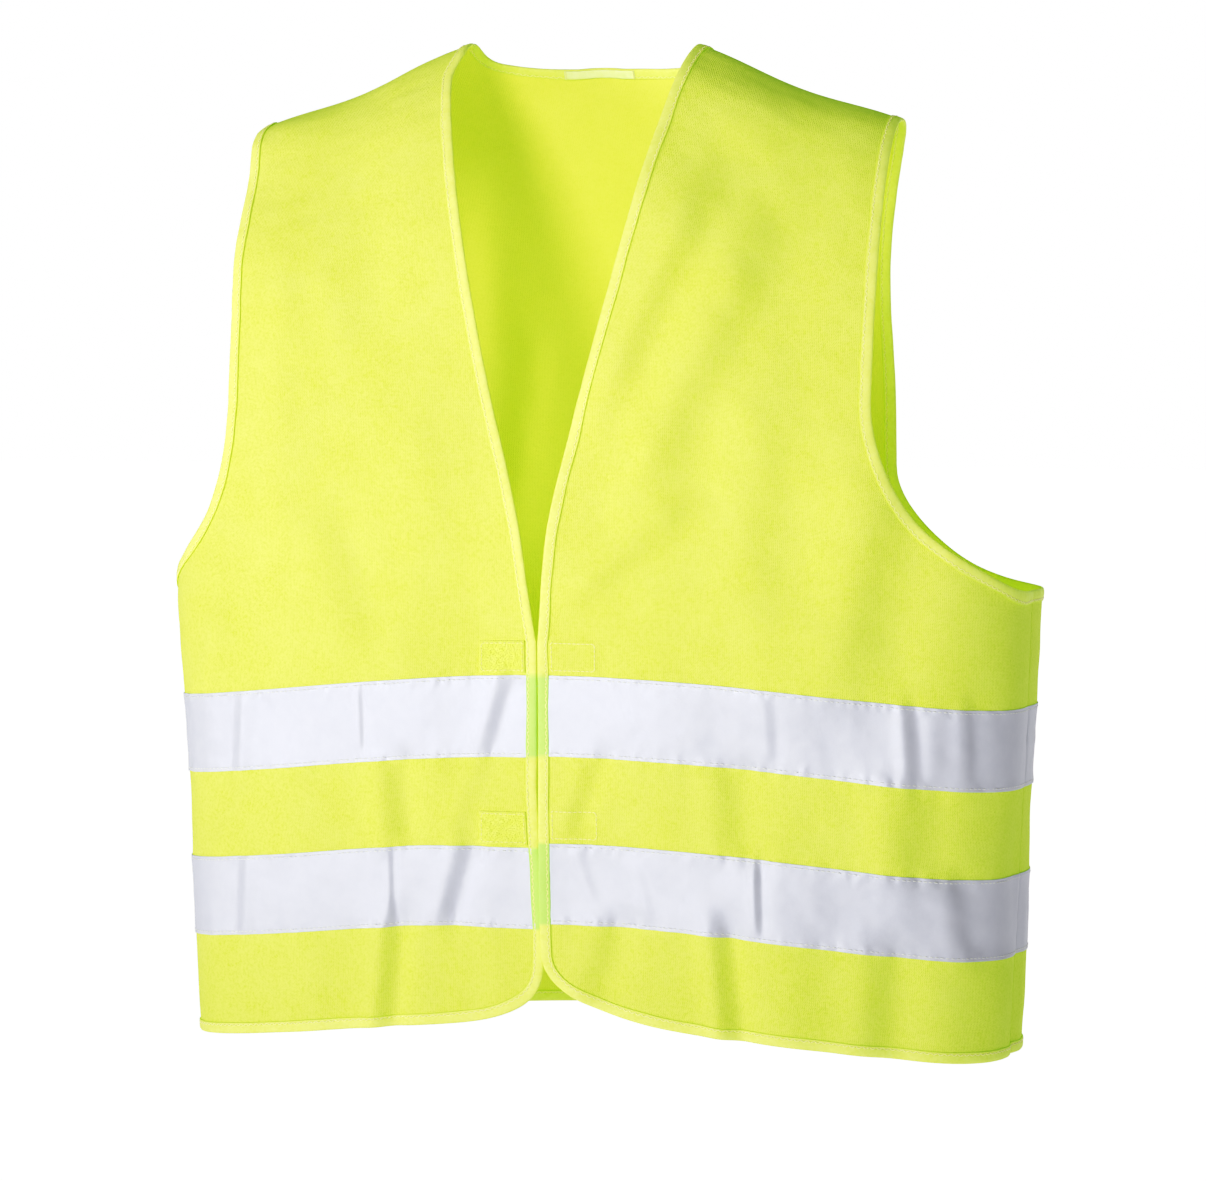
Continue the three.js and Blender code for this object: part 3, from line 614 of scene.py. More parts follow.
def moved(places, direction, distance):
    """The places a distance away from a path, in a direction along the cloth."""
    half, turn, stature = places
    round_it, up_it = slopes(*places)
    a, b, c = dot(round_it, round_it), dot(round_it, up_it), dot(up_it, up_it)
    p, r = dot(round_it, direction), dot(up_it, direction)
    det = a * c - b * b
    d_turn, d_stature = (c * p - b * r) / det, (a * r - b * p) / det
    distance = np.asarray(distance, float)
    grow = (slice(None),) + (None,) * (distance.ndim if distance.ndim < 2 else distance.ndim - 1)
    return half[grow], turn[grow] + d_turn[grow] * distance, stature[grow] + d_stature[grow] * distance


def front_path(side):
    """From the shoulder down the neckline and the closure, round the corner and out to the side seam."""
    sign = SIDES[side]
    width, squareness = CORNER[side]
    down_neck = height_of(np.linspace(TOP, float(stature_of(V_BOTTOM)), 260))
    down_front = np.linspace(V_BOTTOM - 1e-4, CORNER_HEIGHT, 60)
    quarter = np.linspace(0, QUARTER, 70)[1:]
    corner_x = sign * (FRONT_GAP + width * (1 - np.abs(np.cos(quarter)) ** (2 / squareness)))
    corner_height = CORNER_HEIGHT * (1 - np.sin(quarter) ** (2 / squareness))
    start = float(turn_of(sign * (FRONT_GAP + width), 0.0))
    hem = np.linspace(start, sign * QUARTER, 120)[1:]
    return joined(
        path(FRONT, inner_edge(side, down_neck), down_neck),
        path(FRONT, inner_edge(side, down_front), down_front),
        path(FRONT, corner_x, corner_height),
        np.broadcast_arrays(np.array(FRONT), hem, 0.0),
    )


def armhole_path(side):
    """From the side seam up the front of the armhole, over the shoulder and down its back."""
    parts = []
    for half in (FRONT, BACK):
        straight_from = ARMHOLE[half][1]
        scoop = scoop_heights(half, np.sin(np.linspace(0, QUARTER, 121)) ** 2)
        shoulder = height_of(np.linspace(float(stature_of(straight_from)), TOP, 160)[1:])
        height = np.concatenate([[CHEST], scoop[1:], shoulder])
        parts.append(path(half, outer_edge(half, side, height), height))
    return joined(parts[0], [part[::-1] for part in parts[1]])


def back_neck_path():
    turn = np.linspace(-QUARTER, QUARTER, 200)
    power = 2 / BACK_NECK_SQUARENESS
    across = np.sign(turn) * np.abs(np.sin(turn)) ** power
    bow = 1 - np.abs(np.cos(turn)) ** power
    stature = CHEST + RISE * lerp(BACK_NECK_ANGLE + BACK_NECK_LEVEL * across**2, QUARTER, bow)
    reach = NECK_HALF_WIDTH - np.where(across < 0, NECK_PINCH["right"], NECK_PINCH["left"])
    return np.broadcast_arrays(np.array(BACK), turn_of(SHOULDER_SWAY + across * reach, stature), stature)


def back_hem_path():
    return np.broadcast_arrays(np.array(BACK), np.linspace(-QUARTER, QUARTER, 300), 0.0)


# ---- Materials ----

class Nodes:
    """A material's nodes, with short ways to add and link them."""

    def __init__(self, name):
        self.material = bpy.data.materials.new(name)
        self.material.use_nodes = True
        self.tree = self.material.node_tree
        self.shader = self.tree.nodes["Principled BSDF"]

    def add(self, kind, settings=None, **inputs):
        node = self.tree.nodes.new(kind)
        for key, value in (settings or {}).items():
            setattr(node, key, value)
        for key, value in inputs.items():
            self.put(node.inputs[key.replace("_", " ")], value)
        return node

    def put(self, socket, value):
        if isinstance(value, bpy.types.NodeSocket):
            self.tree.links.new(value, socket)
        else:
            socket.default_value = value

    def math(self, operation, a, b=0.0):
        node = self.add("ShaderNodeMath", {"operation": operation})
        self.put(node.inputs[0], a)
        self.put(node.inputs[1], b)
        return node.outputs[0]

    def times(self, a, b):
        return self.math("MULTIPLY", a, b)

    def total(self, first, *rest):
        for value in rest:
            first = self.math("ADD", first, value)
        return first

    def wave(self, value, pitch):
        return self.math("SINE", self.times(value, 2 * math.pi / pitch))

    def attribute(self, name):
        return self.add("ShaderNodeAttribute", {"attribute_name": name}).outputs["Fac"]

    def space(self):
        return self.add("ShaderNodeTexCoord").outputs["Object"]

    def noise(self, vector, scale, detail=3.0, roughness=0.6):
        node = self.add("ShaderNodeTexNoise", Vector=vector, Scale=scale, Detail=detail, Roughness=roughness)
        return node.outputs["Fac"]

    def mix(self, factor, a, b):
        node = self.add("ShaderNodeMix", {"data_type": "RGBA"})
        self.put(node.inputs["Factor"], factor)
        self.put(node.inputs[6], a)
        self.put(node.inputs[7], b)
        return node.outputs[2]

    def spread(self, value, low, high, to_low=0.0, to_high=1.0):
        node = self.add("ShaderNodeMapRange")
        self.put(node.inputs["Value"], value)
        for key, number in (("From Min", low), ("From Max", high), ("To Min", to_low), ("To Max", to_high)):
            node.inputs[key].default_value = number
        return node.outputs["Result"]

    def bump(self, height, strength, distance):
        node = self.add("ShaderNodeBump", Strength=strength, Distance=distance, Height=height)
        return node.outputs["Normal"]

    def finish(self, **inputs):
        for key, value in inputs.items():
            self.put(self.shader.inputs[key.replace("_", " ")], value)
        return self.material


def place_nodes(nodes):
    """The place on the flat cloth in metres, across it and up it, and the place in space."""
    uv = nodes.add("ShaderNodeUVMap", {"uv_map": "cloth"}).outputs["UV"]
    parts = nodes.add("ShaderNodeSeparateXYZ", Vector=uv)
    return parts.outputs["X"], parts.outputs["Y"], nodes.space()


LIME = (0.715, 0.600, 0.185, 1)
LIME_DEEP = (0.585, 0.525, 0.085, 1)
# Painted light on the cloth's inside, for light that comes through it.
LIME_PAINTED_THROUGHLIGHT = (0.870, 0.660, 0.200, 1)
LIME_PALE = (0.765, 0.645, 0.255, 1)
LIME_WORN = (0.80, 0.67, 0.27, 1)
# Painted shade for the binding's turned-in edge and its stitch line.
LIME_PAINTED_SHADE = (0.42, 0.40, 0.02, 1)
LIME_SHEEN = (1.0, 1.0, 0.40, 1)
GREEN_TRIM = (0.330, 0.560, 0.200, 1)
SILVER = ((0.622, 0.632, 0.708, 1), (0.662, 0.670, 0.742, 1))
SILVER_BACK = (0.70, 0.71, 0.72, 1)
LABEL_LIME = ((0.86, 0.91, 0.42, 1), (0.93, 0.96, 0.56, 1))
PAINTED_FLUORESCENT_GLOW = {"Emission_Color": (0.36, 1.00, 0.01, 1), "Emission_Strength": 0.24}  # the fluorescence, as a painted glow that is the same in light and shade

# The pitches of the weaves.
WALE = 0.0023
ZIGZAG = 0.0017
COURSE = 0.00085
BINDING_RIB = 0.0009
BINDING_WEFT = 0.0011
TAPE_WEAVE = 0.0006
LABEL_RIB = 0.0005


def knit_material():
    """Brushed fluorescent warp knit: fine wales with zigzag loops, and a mottled nap."""
    nodes = Nodes("lime_knit")
    across, up, space = place_nodes(nodes)
    wander = nodes.times(nodes.noise(space, 55.0, 2.0), 5.0)
    zigzag = nodes.times(nodes.wave(up, ZIGZAG), 0.55)
    wale = nodes.total(nodes.times(across, 2 * math.pi / WALE), zigzag, wander)
    wale = nodes.math("ABSOLUTE", nodes.math("SINE", wale))
    nap = nodes.noise(space, 950.0, 4.0, 0.7)
    mottle = nodes.noise(space, 520.0, 3.0, 0.65)
    shade = nodes.total(nodes.times(mottle, 0.55), nodes.times(nap, 0.30), nodes.times(wale, 0.15))
    colour = nodes.mix(nodes.spread(shade, 0.38, 0.56), LIME_DEEP, LIME)
    cloud = nodes.noise(space, 38.0, 3.0)
    colour = nodes.mix(nodes.spread(cloud, 0.35, 0.75, 0.0, 0.30), colour, LIME_PALE)
    # Painted light: the inside is painted warmer, for the light that comes through the thin cloth.
    colour = nodes.mix(nodes.times(nodes.attribute("inside"), 0.6), colour, LIME_PAINTED_THROUGHLIGHT)
    loops = nodes.total(wale, nodes.times(nodes.wave(up, COURSE), 0.22))
    height = nodes.total(loops, nodes.times(nap, 1.2), nodes.times(mottle, 1.6))
    return nodes.finish(
        Base_Color=colour, Normal=nodes.bump(height, 0.75, 0.00022), Roughness=0.86,
        Specular_IOR_Level=0.25, Sheen_Weight=0.14, Sheen_Roughness=0.45, Sheen_Tint=LIME_SHEEN, **PAINTED_FLUORESCENT_GLOW)


def binding_material():
    """Woven edge tape: ribs along it and a slightly shiny nap, greener where it wraps the silver bands."""
    nodes = Nodes("lime_binding")
    across, up, space = place_nodes(nodes)
    weave = nodes.times(nodes.wave(across, BINDING_RIB), nodes.wave(up, BINDING_WEFT))
    mottle = nodes.noise(space, 420.0, 3.0, 0.65)
    cloud = nodes.noise(space, 60.0, 2.0)
    colour = nodes.mix(nodes.spread(mottle, 0.35, 0.65), LIME, LIME_PALE)
    colour = nodes.mix(nodes.spread(cloud, 0.35, 0.75, 0.0, 0.6), colour, LIME_WORN)
    # Painted shade: the turned-in edge and the line that the stitches draw down are painted darker, as
    # shadow lines.
    edge = nodes.spread(across, BINDING_WIDTH - 0.00055, BINDING_WIDTH + 0.00005, 0.0, 0.75)
    from_stitches = nodes.math("ABSOLUTE", nodes.math("SUBTRACT", across, BINDING_STITCH))
    groove = nodes.spread(from_stitches, 0.0003, 0.0006, 0.35, 0.0)
    colour = nodes.mix(nodes.math("MAXIMUM", edge, groove), colour, LIME_PAINTED_SHADE)
    colour = nodes.mix(nodes.times(nodes.attribute("over_tape"), 0.62), colour, GREEN_TRIM)
    height = nodes.total(weave, nodes.times(mottle, 1.5))
    return nodes.finish(
        Base_Color=colour, Normal=nodes.bump(height, 0.4, 0.00014), Roughness=0.72,
        Specular_IOR_Level=0.3, Sheen_Weight=0.25, Sheen_Roughness=0.4, Sheen_Tint=LIME_SHEEN, **PAINTED_FLUORESCENT_GLOW)


def tape_material():
    """Silver retroreflective tape: a satin of glass beads on a fabric whose weave just shows through."""
    nodes = Nodes("reflective_tape")
    across, up, space = place_nodes(nodes)
    beads = nodes.noise(space, 2600.0, 2.0, 0.5)
    smear = nodes.noise(space, 120.0, 4.0, 0.6)
    weave = nodes.times(nodes.wave(across, TAPE_WEAVE), nodes.wave(up, TAPE_WEAVE))
    back = nodes.attribute("inside")
    colour = nodes.mix(back, nodes.mix(nodes.spread(smear, 0.3, 0.7), *SILVER), SILVER_BACK)
    height = nodes.total(nodes.times(weave, 0.5), beads)
    return nodes.finish(
        Base_Color=colour, Normal=nodes.bump(height, 0.25, 0.00010),
        Roughness=nodes.spread(smear, 0.3, 0.7, 0.50, 0.58),
        Metallic=nodes.spread(back, 0.0, 1.0, 0.22, 0.0), Specular_IOR_Level=0.5,
        Sheen_Weight=0.1, Sheen_Roughness=0.3)


def pad_material(name, colour_a, colour_b, bump_scale):
    nodes = Nodes(name)
    space = nodes.space()
    nap = nodes.noise(space, bump_scale, 3.0, 0.7)
    colour = nodes.mix(nodes.spread(nodes.noise(space, 300.0, 2.0), 0.35, 0.65), colour_a, colour_b)
    return nodes.finish(
        Base_Color=colour, Normal=nodes.bump(nap, 0.6, 0.0002), Roughness=0.9, Specular_IOR_Level=0.2,
        Sheen_Weight=0.4, Sheen_Roughness=0.5, Sheen_Tint=LIME_SHEEN, **PAINTED_FLUORESCENT_GLOW)


def thread_material(name, light, dark):
    """Twisted polyester thread, with a faint painted glow of its light colour."""
    nodes = Nodes(name)
    twist = nodes.noise(nodes.space(), 2400.0, 2.0)
    return nodes.finish(
        Base_Color=nodes.mix(nodes.spread(twist, 0.35, 0.65), dark, light),
        Normal=nodes.bump(twist, 0.5, 0.0001), Roughness=0.5, Specular_IOR_Level=0.4,
        Sheen_Weight=0.2, Emission_Color=light, Emission_Strength=0.10)


def label_material():
    """A blank woven satin label."""
    nodes = Nodes("label_tape")
    _, up, space = place_nodes(nodes)
    cloud = nodes.noise(space, 200.0, 3.0)
    return nodes.finish(
        Base_Color=nodes.mix(nodes.spread(cloud, 0.3, 0.7), *LABEL_LIME),
        Normal=nodes.bump(nodes.wave(up, LABEL_RIB), 0.3, 0.00006), Roughness=0.42,
        Specular_IOR_Level=0.45, Sheen_Weight=0.2)


KNIT = knit_material()
BINDING = binding_material()
TAPE = tape_material()
LOOP = pad_material("loop_pile", (0.71, 0.61, 0.17, 1), (0.76, 0.64, 0.23, 1), 1800.0)
HOOK = pad_material("hook_tape", (0.65, 0.58, 0.13, 1), (0.71, 0.61, 0.18, 1), 1100.0)
THREAD = thread_material("lime_thread", (0.93, 0.90, 0.46, 1), (0.78, 0.75, 0.24, 1))
TAPE_THREAD = thread_material("band_thread", (0.80, 0.81, 0.74, 1), (0.55, 0.56, 0.56, 1))
LABEL_TAPE = label_material()


# ---- How each piece goes with the frame ----


def follow(piece, side=None):
    """The piece stays with the body, or for a front's piece its place is baked into its points."""
    if side is None:
        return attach(piece, "vest_body")
    joint = next(j for j in frame["joints"] if j["child"] == f"{side}_front")
    axis = Vector(joint["axis"])
    across = axis.cross(Vector((0, 1, 0))).normalized()
    if across.x * SIDES[side] > 0:
        across.negate()
    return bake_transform(piece)


def stand_for(piece, nodes, side=None):
    if nodes:
        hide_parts(*nodes)
    return follow(piece, side)


# ---- Stitches ----

# Places along a stitch, and its girth there, as shares of its length and its width.
LOZENGE_STATIONS = ((-0.5, 0.2), (-0.36, 0.8), (0.0, 1.0), (0.36, 0.8), (0.5, 0.2))
LOZENGE_SIDES = 5


def lozenge(length, width, height):
    """One stitch's points, as (along, across, out), and its faces."""
    round_it = np.linspace(0, 2 * math.pi, LOZENGE_SIDES, endpoint=False)
    points = np.array([
        (length * at, girth * width / 2 * math.cos(a), girth * height / 2 * math.sin(a))
        for at, girth in LOZENGE_STATIONS for a in round_it])
    size = len(LOZENGE_STATIONS), LOZENGE_SIDES
    return points, grid_quads(*size, wrap_columns=True), end_caps(*size)


def stamped(shape, centres, along, across, out):
    """Copies of a small shape, one at each centre with its own axes, as one list of points and faces."""
    points, quads, caps = shape
    count = len(points)
    placed = (
        centres[:, None] + points[None, :, 0:1] * along[:, None]
        + points[None, :, 1:2] * across[:, None] + points[None, :, 2:3] * out[:, None])
    shift = count * np.arange(len(centres))
    quads = (quads[None] + shift[:, None, None]).reshape(-1, 4)
    loose = [cap + s for s in shift for cap in caps]
    return placed.reshape(-1, 3), quads, loose


def merged(parts):
    points, quads, loose, base = [], [], [], 0
    for more_points, more_quads, more_loose in parts:
        points.append(more_points)
        quads.append(more_quads + base)
        loose += [face + base for face in more_loose]
        base += len(more_points)
    return np.concatenate(points), np.concatenate(quads), loose


STITCH = lozenge(0.0025, 0.00074, 0.00060)
OVERLOCK_STITCH = lozenge(0.0040, 0.00046, 0.00040)


def stitch_line(places, towards, inset, offset, closed=False, away=False, pitch=STITCH_PITCH, lean=0.0):
    """Stitches at a distance from a path and out from the surface, which may lean to either side in turn."""
    places = resample(places, pitch, closed, 0.0 if closed else 0.4 * pitch)
    _, out, inward = frames(places, towards, closed, away)
    at = moved(places, inward, np.array([inset]))
    centres = cloth(*at, out=offset)[:, 0]
    if closed:
        along = unit(np.roll(centres, -1, 0) - np.roll(centres, 1, 0))
    else:
        along = unit(np.gradient(centres, axis=0))
    side = np.cross(out, along) * np.where(np.arange(len(along)) % 2, lean, -lean)[:, None]
    along = unit(along + side)
    across = unit(np.cross(out, along))
    return stamped(STITCH, centres, along, across, unit(np.cross(along, across)))


def thread_piece(name, parts, finish, side=None):
    points, quads, loose = merged(parts)
    stand_for(build(name, points, quads, finish, loose=loose), (), side)


# ---- Cloth panels ----

def grid_turns(half):
    """Columns round one half of the body, evenly spaced along the chest."""
    fine = np.linspace(-QUARTER, QUARTER, 2001)
    run = lengths_along(body(half, fine, CHEST), 0)
    return np.interp(np.linspace(0, run[-1], 2 * round(run[-1] / GRID / 2) + 1), run, fine)


def grid_statures(half):
    """Rows up one half, evenly spaced between the hem, the bands' edges and the shoulder seam."""
    fine = np.linspace(0, TOP, 3001)
    run = lengths_along(body(half, turn_of(0.5 * SHOULDER_HALF_WIDTH, fine), fine), 0)
    stops = np.interp([UNDER_BINDING, *BAND_EDGES, TOP], fine, run)
    rows = [np.linspace(a, b, round((b - a) / GRID) + 1)[:-1] for a, b in zip(stops, stops[1:])]
    return np.interp(np.append(np.concatenate(rows), run[-1]), run, fine)


def back_neck_stature(x):
    """The stature at which the back panel ends below the neck, or at the shoulder beside it."""
    pinch = np.where(x < SHOULDER_SWAY, NECK_PINCH["right"], NECK_PINCH["left"])
    reach = UNDER_BINDING + NECK_HALF_WIDTH - pinch
    across = np.clip(np.abs(x - SHOULDER_SWAY) / reach, 0, 1)
    bow = 1 - (1 - across**BACK_NECK_SQUARENESS) ** (1 / BACK_NECK_SQUARENESS)
    per_radian = math.hypot(DEPTH[BACK][1] * math.sin(BACK_NECK_ANGLE), RISE * math.cos(BACK_NECK_ANGLE))
    low = BACK_NECK_ANGLE + BACK_NECK_LEVEL * across**2
    return CHEST + RISE * lerp(low - UNDER_BINDING / per_radian, QUARTER, bow)


def panel(name, half, sides, nodes, side=None):
    """One cloth, cut from an even grid so that its raw edge lies hidden in the fold of the binding."""
    stature, turn = np.meshgrid(grid_statures(half), grid_turns(half), indexing="ij")
    x, height = x_of(turn, stature), height_of(stature)
    keep = np.ones(turn.shape, bool)
    for each in sides:
        sign = SIDES[each]
        beyond = sign * (x - outer_edge(half, each, height, UNDER_BINDING)) > 1e-9
        keep &= ~beyond | (height < CHEST - UNDER_BINDING)
        if half == FRONT:
            keep &= sign * (x - inner_edge(each, height, UNDER_BINDING)) >= 0
    if half == BACK:
        keep &= stature <= back_neck_stature(x)
    piece = shell(name, half, turn, stature, CLOTH, KNIT, keep=keep)
    return stand_for(piece, nodes, side)


# ---- Edge bindings ----

# The folded tape's section from its outer flange round the vest's edge to its inner flange, and back
# along the slot that holds the cloth, as (inset, out) in millimetres.
WIDTH_MM = BINDING_WIDTH * 1000
BINDING_SECTION = np.array((
    (WIDTH_MM, 0.12), (WIDTH_MM + 0.05, 0.55), (WIDTH_MM - 0.30, 0.84), (WIDTH_MM - 1.00, 0.86),
    (WIDTH_MM - 1.60, 0.72), (WIDTH_MM - 2.20, 0.90), (4.2, 0.99), (3.1, 1.02), (2.0, 0.98),
    (0.9, 0.78), (0.25, 0.35), (0.0, -0.25), (0.25, -0.85), (0.9, -1.28), (2.0, -1.45),
    (4.2, -1.45), (WIDTH_MM - 2.20, -1.36), (WIDTH_MM - 1.60, -1.14), (WIDTH_MM - 1.00, -1.32),
    (WIDTH_MM - 0.30, -1.30), (WIDTH_MM + 0.05, -1.02), (WIDTH_MM, -0.62),
    (1.5, -0.62), (1.15, -0.25), (1.5, 0.12),
)) / 1000
EDGE_SWELL = Waves(21, 0.0045, 0.011, 9)
EDGE_DRIFT = Waves(22, 0.030, 0.110, 9)
BINDING_STATION = 0.0021  # how far apart the binding's sections are
BINDING_STITCHES_OUT = (0.00084, -0.00126)  # how far out the outer and the inner stitches lie
OVER_BAND = 0.00012  # how much further out the binding lies where a band is under it
BINDING_SWELL = 0.10  # how unevenly the tape is drawn in, as shares of its section
BINDING_WAVER = 0.022


def over_tape(stature):
    """1 where a place is level with a reflective band."""
    return sum(within(stature, bottom, bottom + BAND_WIDTH) for bottom in BAND_BOTTOM.values())


def binding(name, places, towards, nodes, side=None, closed=False, away=False):
    fine = resample(places, BINDING_STATION, closed)
    _, _, inward = frames(fine, towards, closed, away)
    run = lengths_along(body(*fine), 0)
    inset, out = BINDING_SECTION.T
    # The stitches draw the tape in, and its edge wavers a little.
    full = np.clip(inset / BINDING_WIDTH, 0, 1)
    swell = 1 + BINDING_SWELL * EDGE_SWELL(run, 0.0)[:, None] * (1 - full[None] ** 2)
    waver = 1 + BINDING_WAVER * EDGE_DRIFT(run, 0.5)[:, None] * full[None]
    if closed:
        meet = ease(np.minimum(run, run[-1] - run), 0.0, 0.010)[:, None]
        swell, waver = lerp(1.0, swell, meet), lerp(1.0, waver, meet)
    half, turn, stature = moved(fine, inward, inset[None] * waver)
    taped = over_tape(stature) if side else np.zeros(stature.shape)
    rings = cloth(half, turn, stature, out[None] * swell + OVER_BAND * taped * (out > 0))
    piece = sleeve(name, rings, inset, run, BINDING, closed, {"over_tape": taped})
    stand_for(piece, nodes, side)
    lines = [
        stitch_line(places, towards, BINDING_STITCH, offset, closed, away, ZIGZAG_PITCH, 0.5)
        for offset in BINDING_STITCHES_OUT]
    thread_piece(f"{name}_stitches", lines, THREAD, side)
    return piece


# ---- Reflective bands ----

CRUMPLE = Waves(31, 0.009, 0.028, 24)
BAND_PULL = Waves(32, 0.0042, 0.0095, 10)
CRUMPLE_DEPTH = 0.00005
BAND_PULL_DEPTH = 0.00020
BAND_STITCH_INSET = 0.0021
BAND_PULL_WIDTH = 0.0022
BAND_GROOVE = 0.00012
BAND_GROOVE_WIDTH = 0.0008
BAND_STITCHES_OUT = (0.00072, -0.00058)
BAND_UNDER_BINDING = 0.0030  # how far a band reaches in under the binding
TICKS = 30


def ticks(x, up, seed):
    """Short creases that run in from a band's two sewn edges."""
    rng = np.random.default_rng(seed)
    total = np.zeros_like(x)
    for place in rng.uniform(-0.27, 0.27, TICKS):
        lean, reach = rng.normal(0, 0.35), rng.uniform(0.006, 0.017)
        width, depth = rng.uniform(0.0012, 0.0024), rng.uniform(0.0002, 0.00055)
        inward = BAND_WIDTH - up if rng.random() < 0.5 else up
        crease = depth * bell(x - place - lean * inward, width)
        total += crease * ease(inward, 0.0, 0.003) * ease(reach - inward, 0, reach)
    return total


def band_rows(bottom):
    """Heights up a band, with a tight pair at each edge so that the tape's edge stays crisp."""
    tight, next_in = 0.00025, 0.0011
    inside = np.linspace(next_in, BAND_WIDTH - next_in, 26)
    return bottom + np.concatenate([[0, tight], inside, [BAND_WIDTH - tight, BAND_WIDTH]])


def band_columns(half, side):
    """The cloth's own columns with one more between each pair, from under the binding to the side seam."""
    turns = grid_turns(half)
    turns = np.sort(np.concatenate([turns, (turns[1:] + turns[:-1]) / 2]))
    if side is None:
        return turns
    start = float(turn_of(SIDES[side] * (FRONT_GAP + BINDING_WIDTH - BAND_UNDER_BINDING), 0.14))
    turns = turns[(turns - start) * SIDES[side] > 5e-4]
    return np.sort(np.append(turns, start))


def band(name, half, level, nodes, side=None):
    bottom = BAND_BOTTOM[level]
    stature, turn = np.meshgrid(band_rows(bottom), band_columns(half, side), indexing="ij")
    x = x_of(turn, stature)
    up = np.minimum(stature - bottom, bottom + BAND_WIDTH - stature)
    crumple = CRUMPLE_DEPTH * CRUMPLE(x, stature + half) * ease(up, 0.0, 0.008)
    from_stitches = up - BAND_STITCH_INSET
    pulls = BAND_PULL_DEPTH * BAND_PULL(x, bottom) * bell(from_stitches, BAND_PULL_WIDTH)
    groove = -BAND_GROOVE * bell(from_stitches, BAND_GROOVE_WIDTH)
    creases = ticks(x, stature - bottom, seed=50 + half + 10 * (level == "upper"))
    piece = shell(name, half, turn, stature, BAND, TAPE, crumple + pulls + groove + creases)
    stand_for(piece, nodes, side)
    middle_point = body(half, 0.0, bottom + BAND_WIDTH / 2)
    lines = []
    for edge in (bottom + BAND_STITCH_INSET, bottom + BAND_WIDTH - BAND_STITCH_INSET):
        line = np.broadcast_arrays(np.array(half), np.linspace(turn[0, 0], turn[0, -1], 400), edge)
        lines += [stitch_line(line, middle_point, 0.0, offset) for offset in BAND_STITCHES_OUT]
    thread_piece(f"{name}_stitches", lines, TAPE_THREAD, side)
    return piece


# ---- Hook and loop pads ----

def arch(reach, height, thickness, sweep, steps=6, sides=4):
    """A small bent fibre that starts and ends near the ground, as points, faces and caps."""
    points = []
    for k in range(steps):
        bend = sweep * k / (steps - 1)
        centre = np.array((-reach / 2 * math.cos(bend), 0.0, height * math.sin(bend)))
        radial = np.array((-math.cos(bend), 0.0, math.sin(bend)))
        for a in np.linspace(0, 2 * math.pi, sides, endpoint=False):
            spoke = math.cos(a) * radial + math.sin(a) * np.array((0, 1.0, 0))
            points.append(centre + thickness / 2 * spoke)
    return np.array(points), grid_quads(steps, sides, wrap_columns=True), end_caps(steps, sides)


# Loops stand outside the right front in a jumble, and hooks inside the left front in rows. A pad's ground
# is the face that lies on the cloth, and its far stitches show on the cloth's other side.
PAD_KINDS = {
    "loop": {
        "out": 1, "ground": CLOTH[0] + 0.0001, "far_stitches": CLOTH[1] - 0.0001,
        "finish": LOOP, "fibre": arch(0.0010, 0.00055, 0.00016, math.pi),
        "columns": 34, "rows": 22, "seed": 41, "jumble": 1},
    "hook": {
        "out": -1, "ground": CLOTH[1] - 0.0001, "far_stitches": CLOTH[0] + 0.00012,
        "finish": HOOK, "fibre": arch(0.0008, 0.0010, 0.00022, math.radians(235)),
        "columns": 24, "rows": 16, "seed": 42, "jumble": 0},
}
PAD_CELLS = (30, 20)
PAD_STITCH_INSET = 0.0016
PAD_STITCH_PITCH = 0.0028
FIBRE_INSET = 0.0008
FIBRE_JITTER = 0.00035
FIBRE_ROOT = 0.00008  # how far into the pad a fibre starts


def pad_grid(side, level, columns, rows, inset=0.0):
    """Places over a pad, its bound end first."""
    bottom = PAD_BOTTOM[level]
    x = SIDES[side] * np.linspace(PAD_START + inset, PAD_START + PAD[0] - inset, columns)
    height = np.linspace(bottom + inset, bottom + PAD[1] - inset, rows)
    x, height = np.meshgrid(x, height)
    return path(FRONT, x, height)


def pad(side, level, kind):
    """A pad of loops or of hooks, sewn on round its border."""
    made = PAD_KINDS[kind]
    face = made["ground"] + made["out"] * PAD_THICKNESS
    columns, rows = (count + 1 for count in PAD_CELLS)
    half, turn, stature = pad_grid(side, level, columns, rows)
    border = np.minimum.outer(
        np.minimum(np.arange(rows), rows - 1 - np.arange(rows)),
        np.minimum(np.arange(columns), columns - 1 - np.arange(columns)))
    # The pad dips towards its cut edge.
    crown = np.select([border == 0, border == 1], [-0.45, -0.12], 0.0) * PAD_THICKNESS * made["out"]
    layer = (face, made["ground"])
    piece = shell(f"{level}_{kind}_pad", half, turn, stature, layer, made["finish"], crown * PAD_CROWN)
    stand_for(piece, (f"{level}_{kind}_patch",), side)
    fibres(side, level, kind, face)
    centre = cloth(half[rows // 2, columns // 2], turn[rows // 2, columns // 2], stature[rows // 2, 0])
    outline = pad_outline(side, level)
    offsets = (face + made["out"] * 0.00005, made["far_stitches"])
    lines = [
        stitch_line(outline, centre, 0.0, offset, closed=True, pitch=PAD_STITCH_PITCH) for offset in offsets]
    thread_piece(f"{level}_{kind}_pad_stitches", lines, THREAD, side)


def pad_outline(side, level):
    half, turn, stature = pad_grid(side, level, 61, 41, PAD_STITCH_INSET)
    order = [(0, slice(0, -1)), (slice(0, -1), -1), (-1, slice(-1, 0, -1)), (slice(-1, 0, -1), 0)]
    ring = [np.concatenate([part[k] for k in order]) for part in (half, turn, stature)]
    return [np.concatenate([part, part[:1]]) for part in ring]


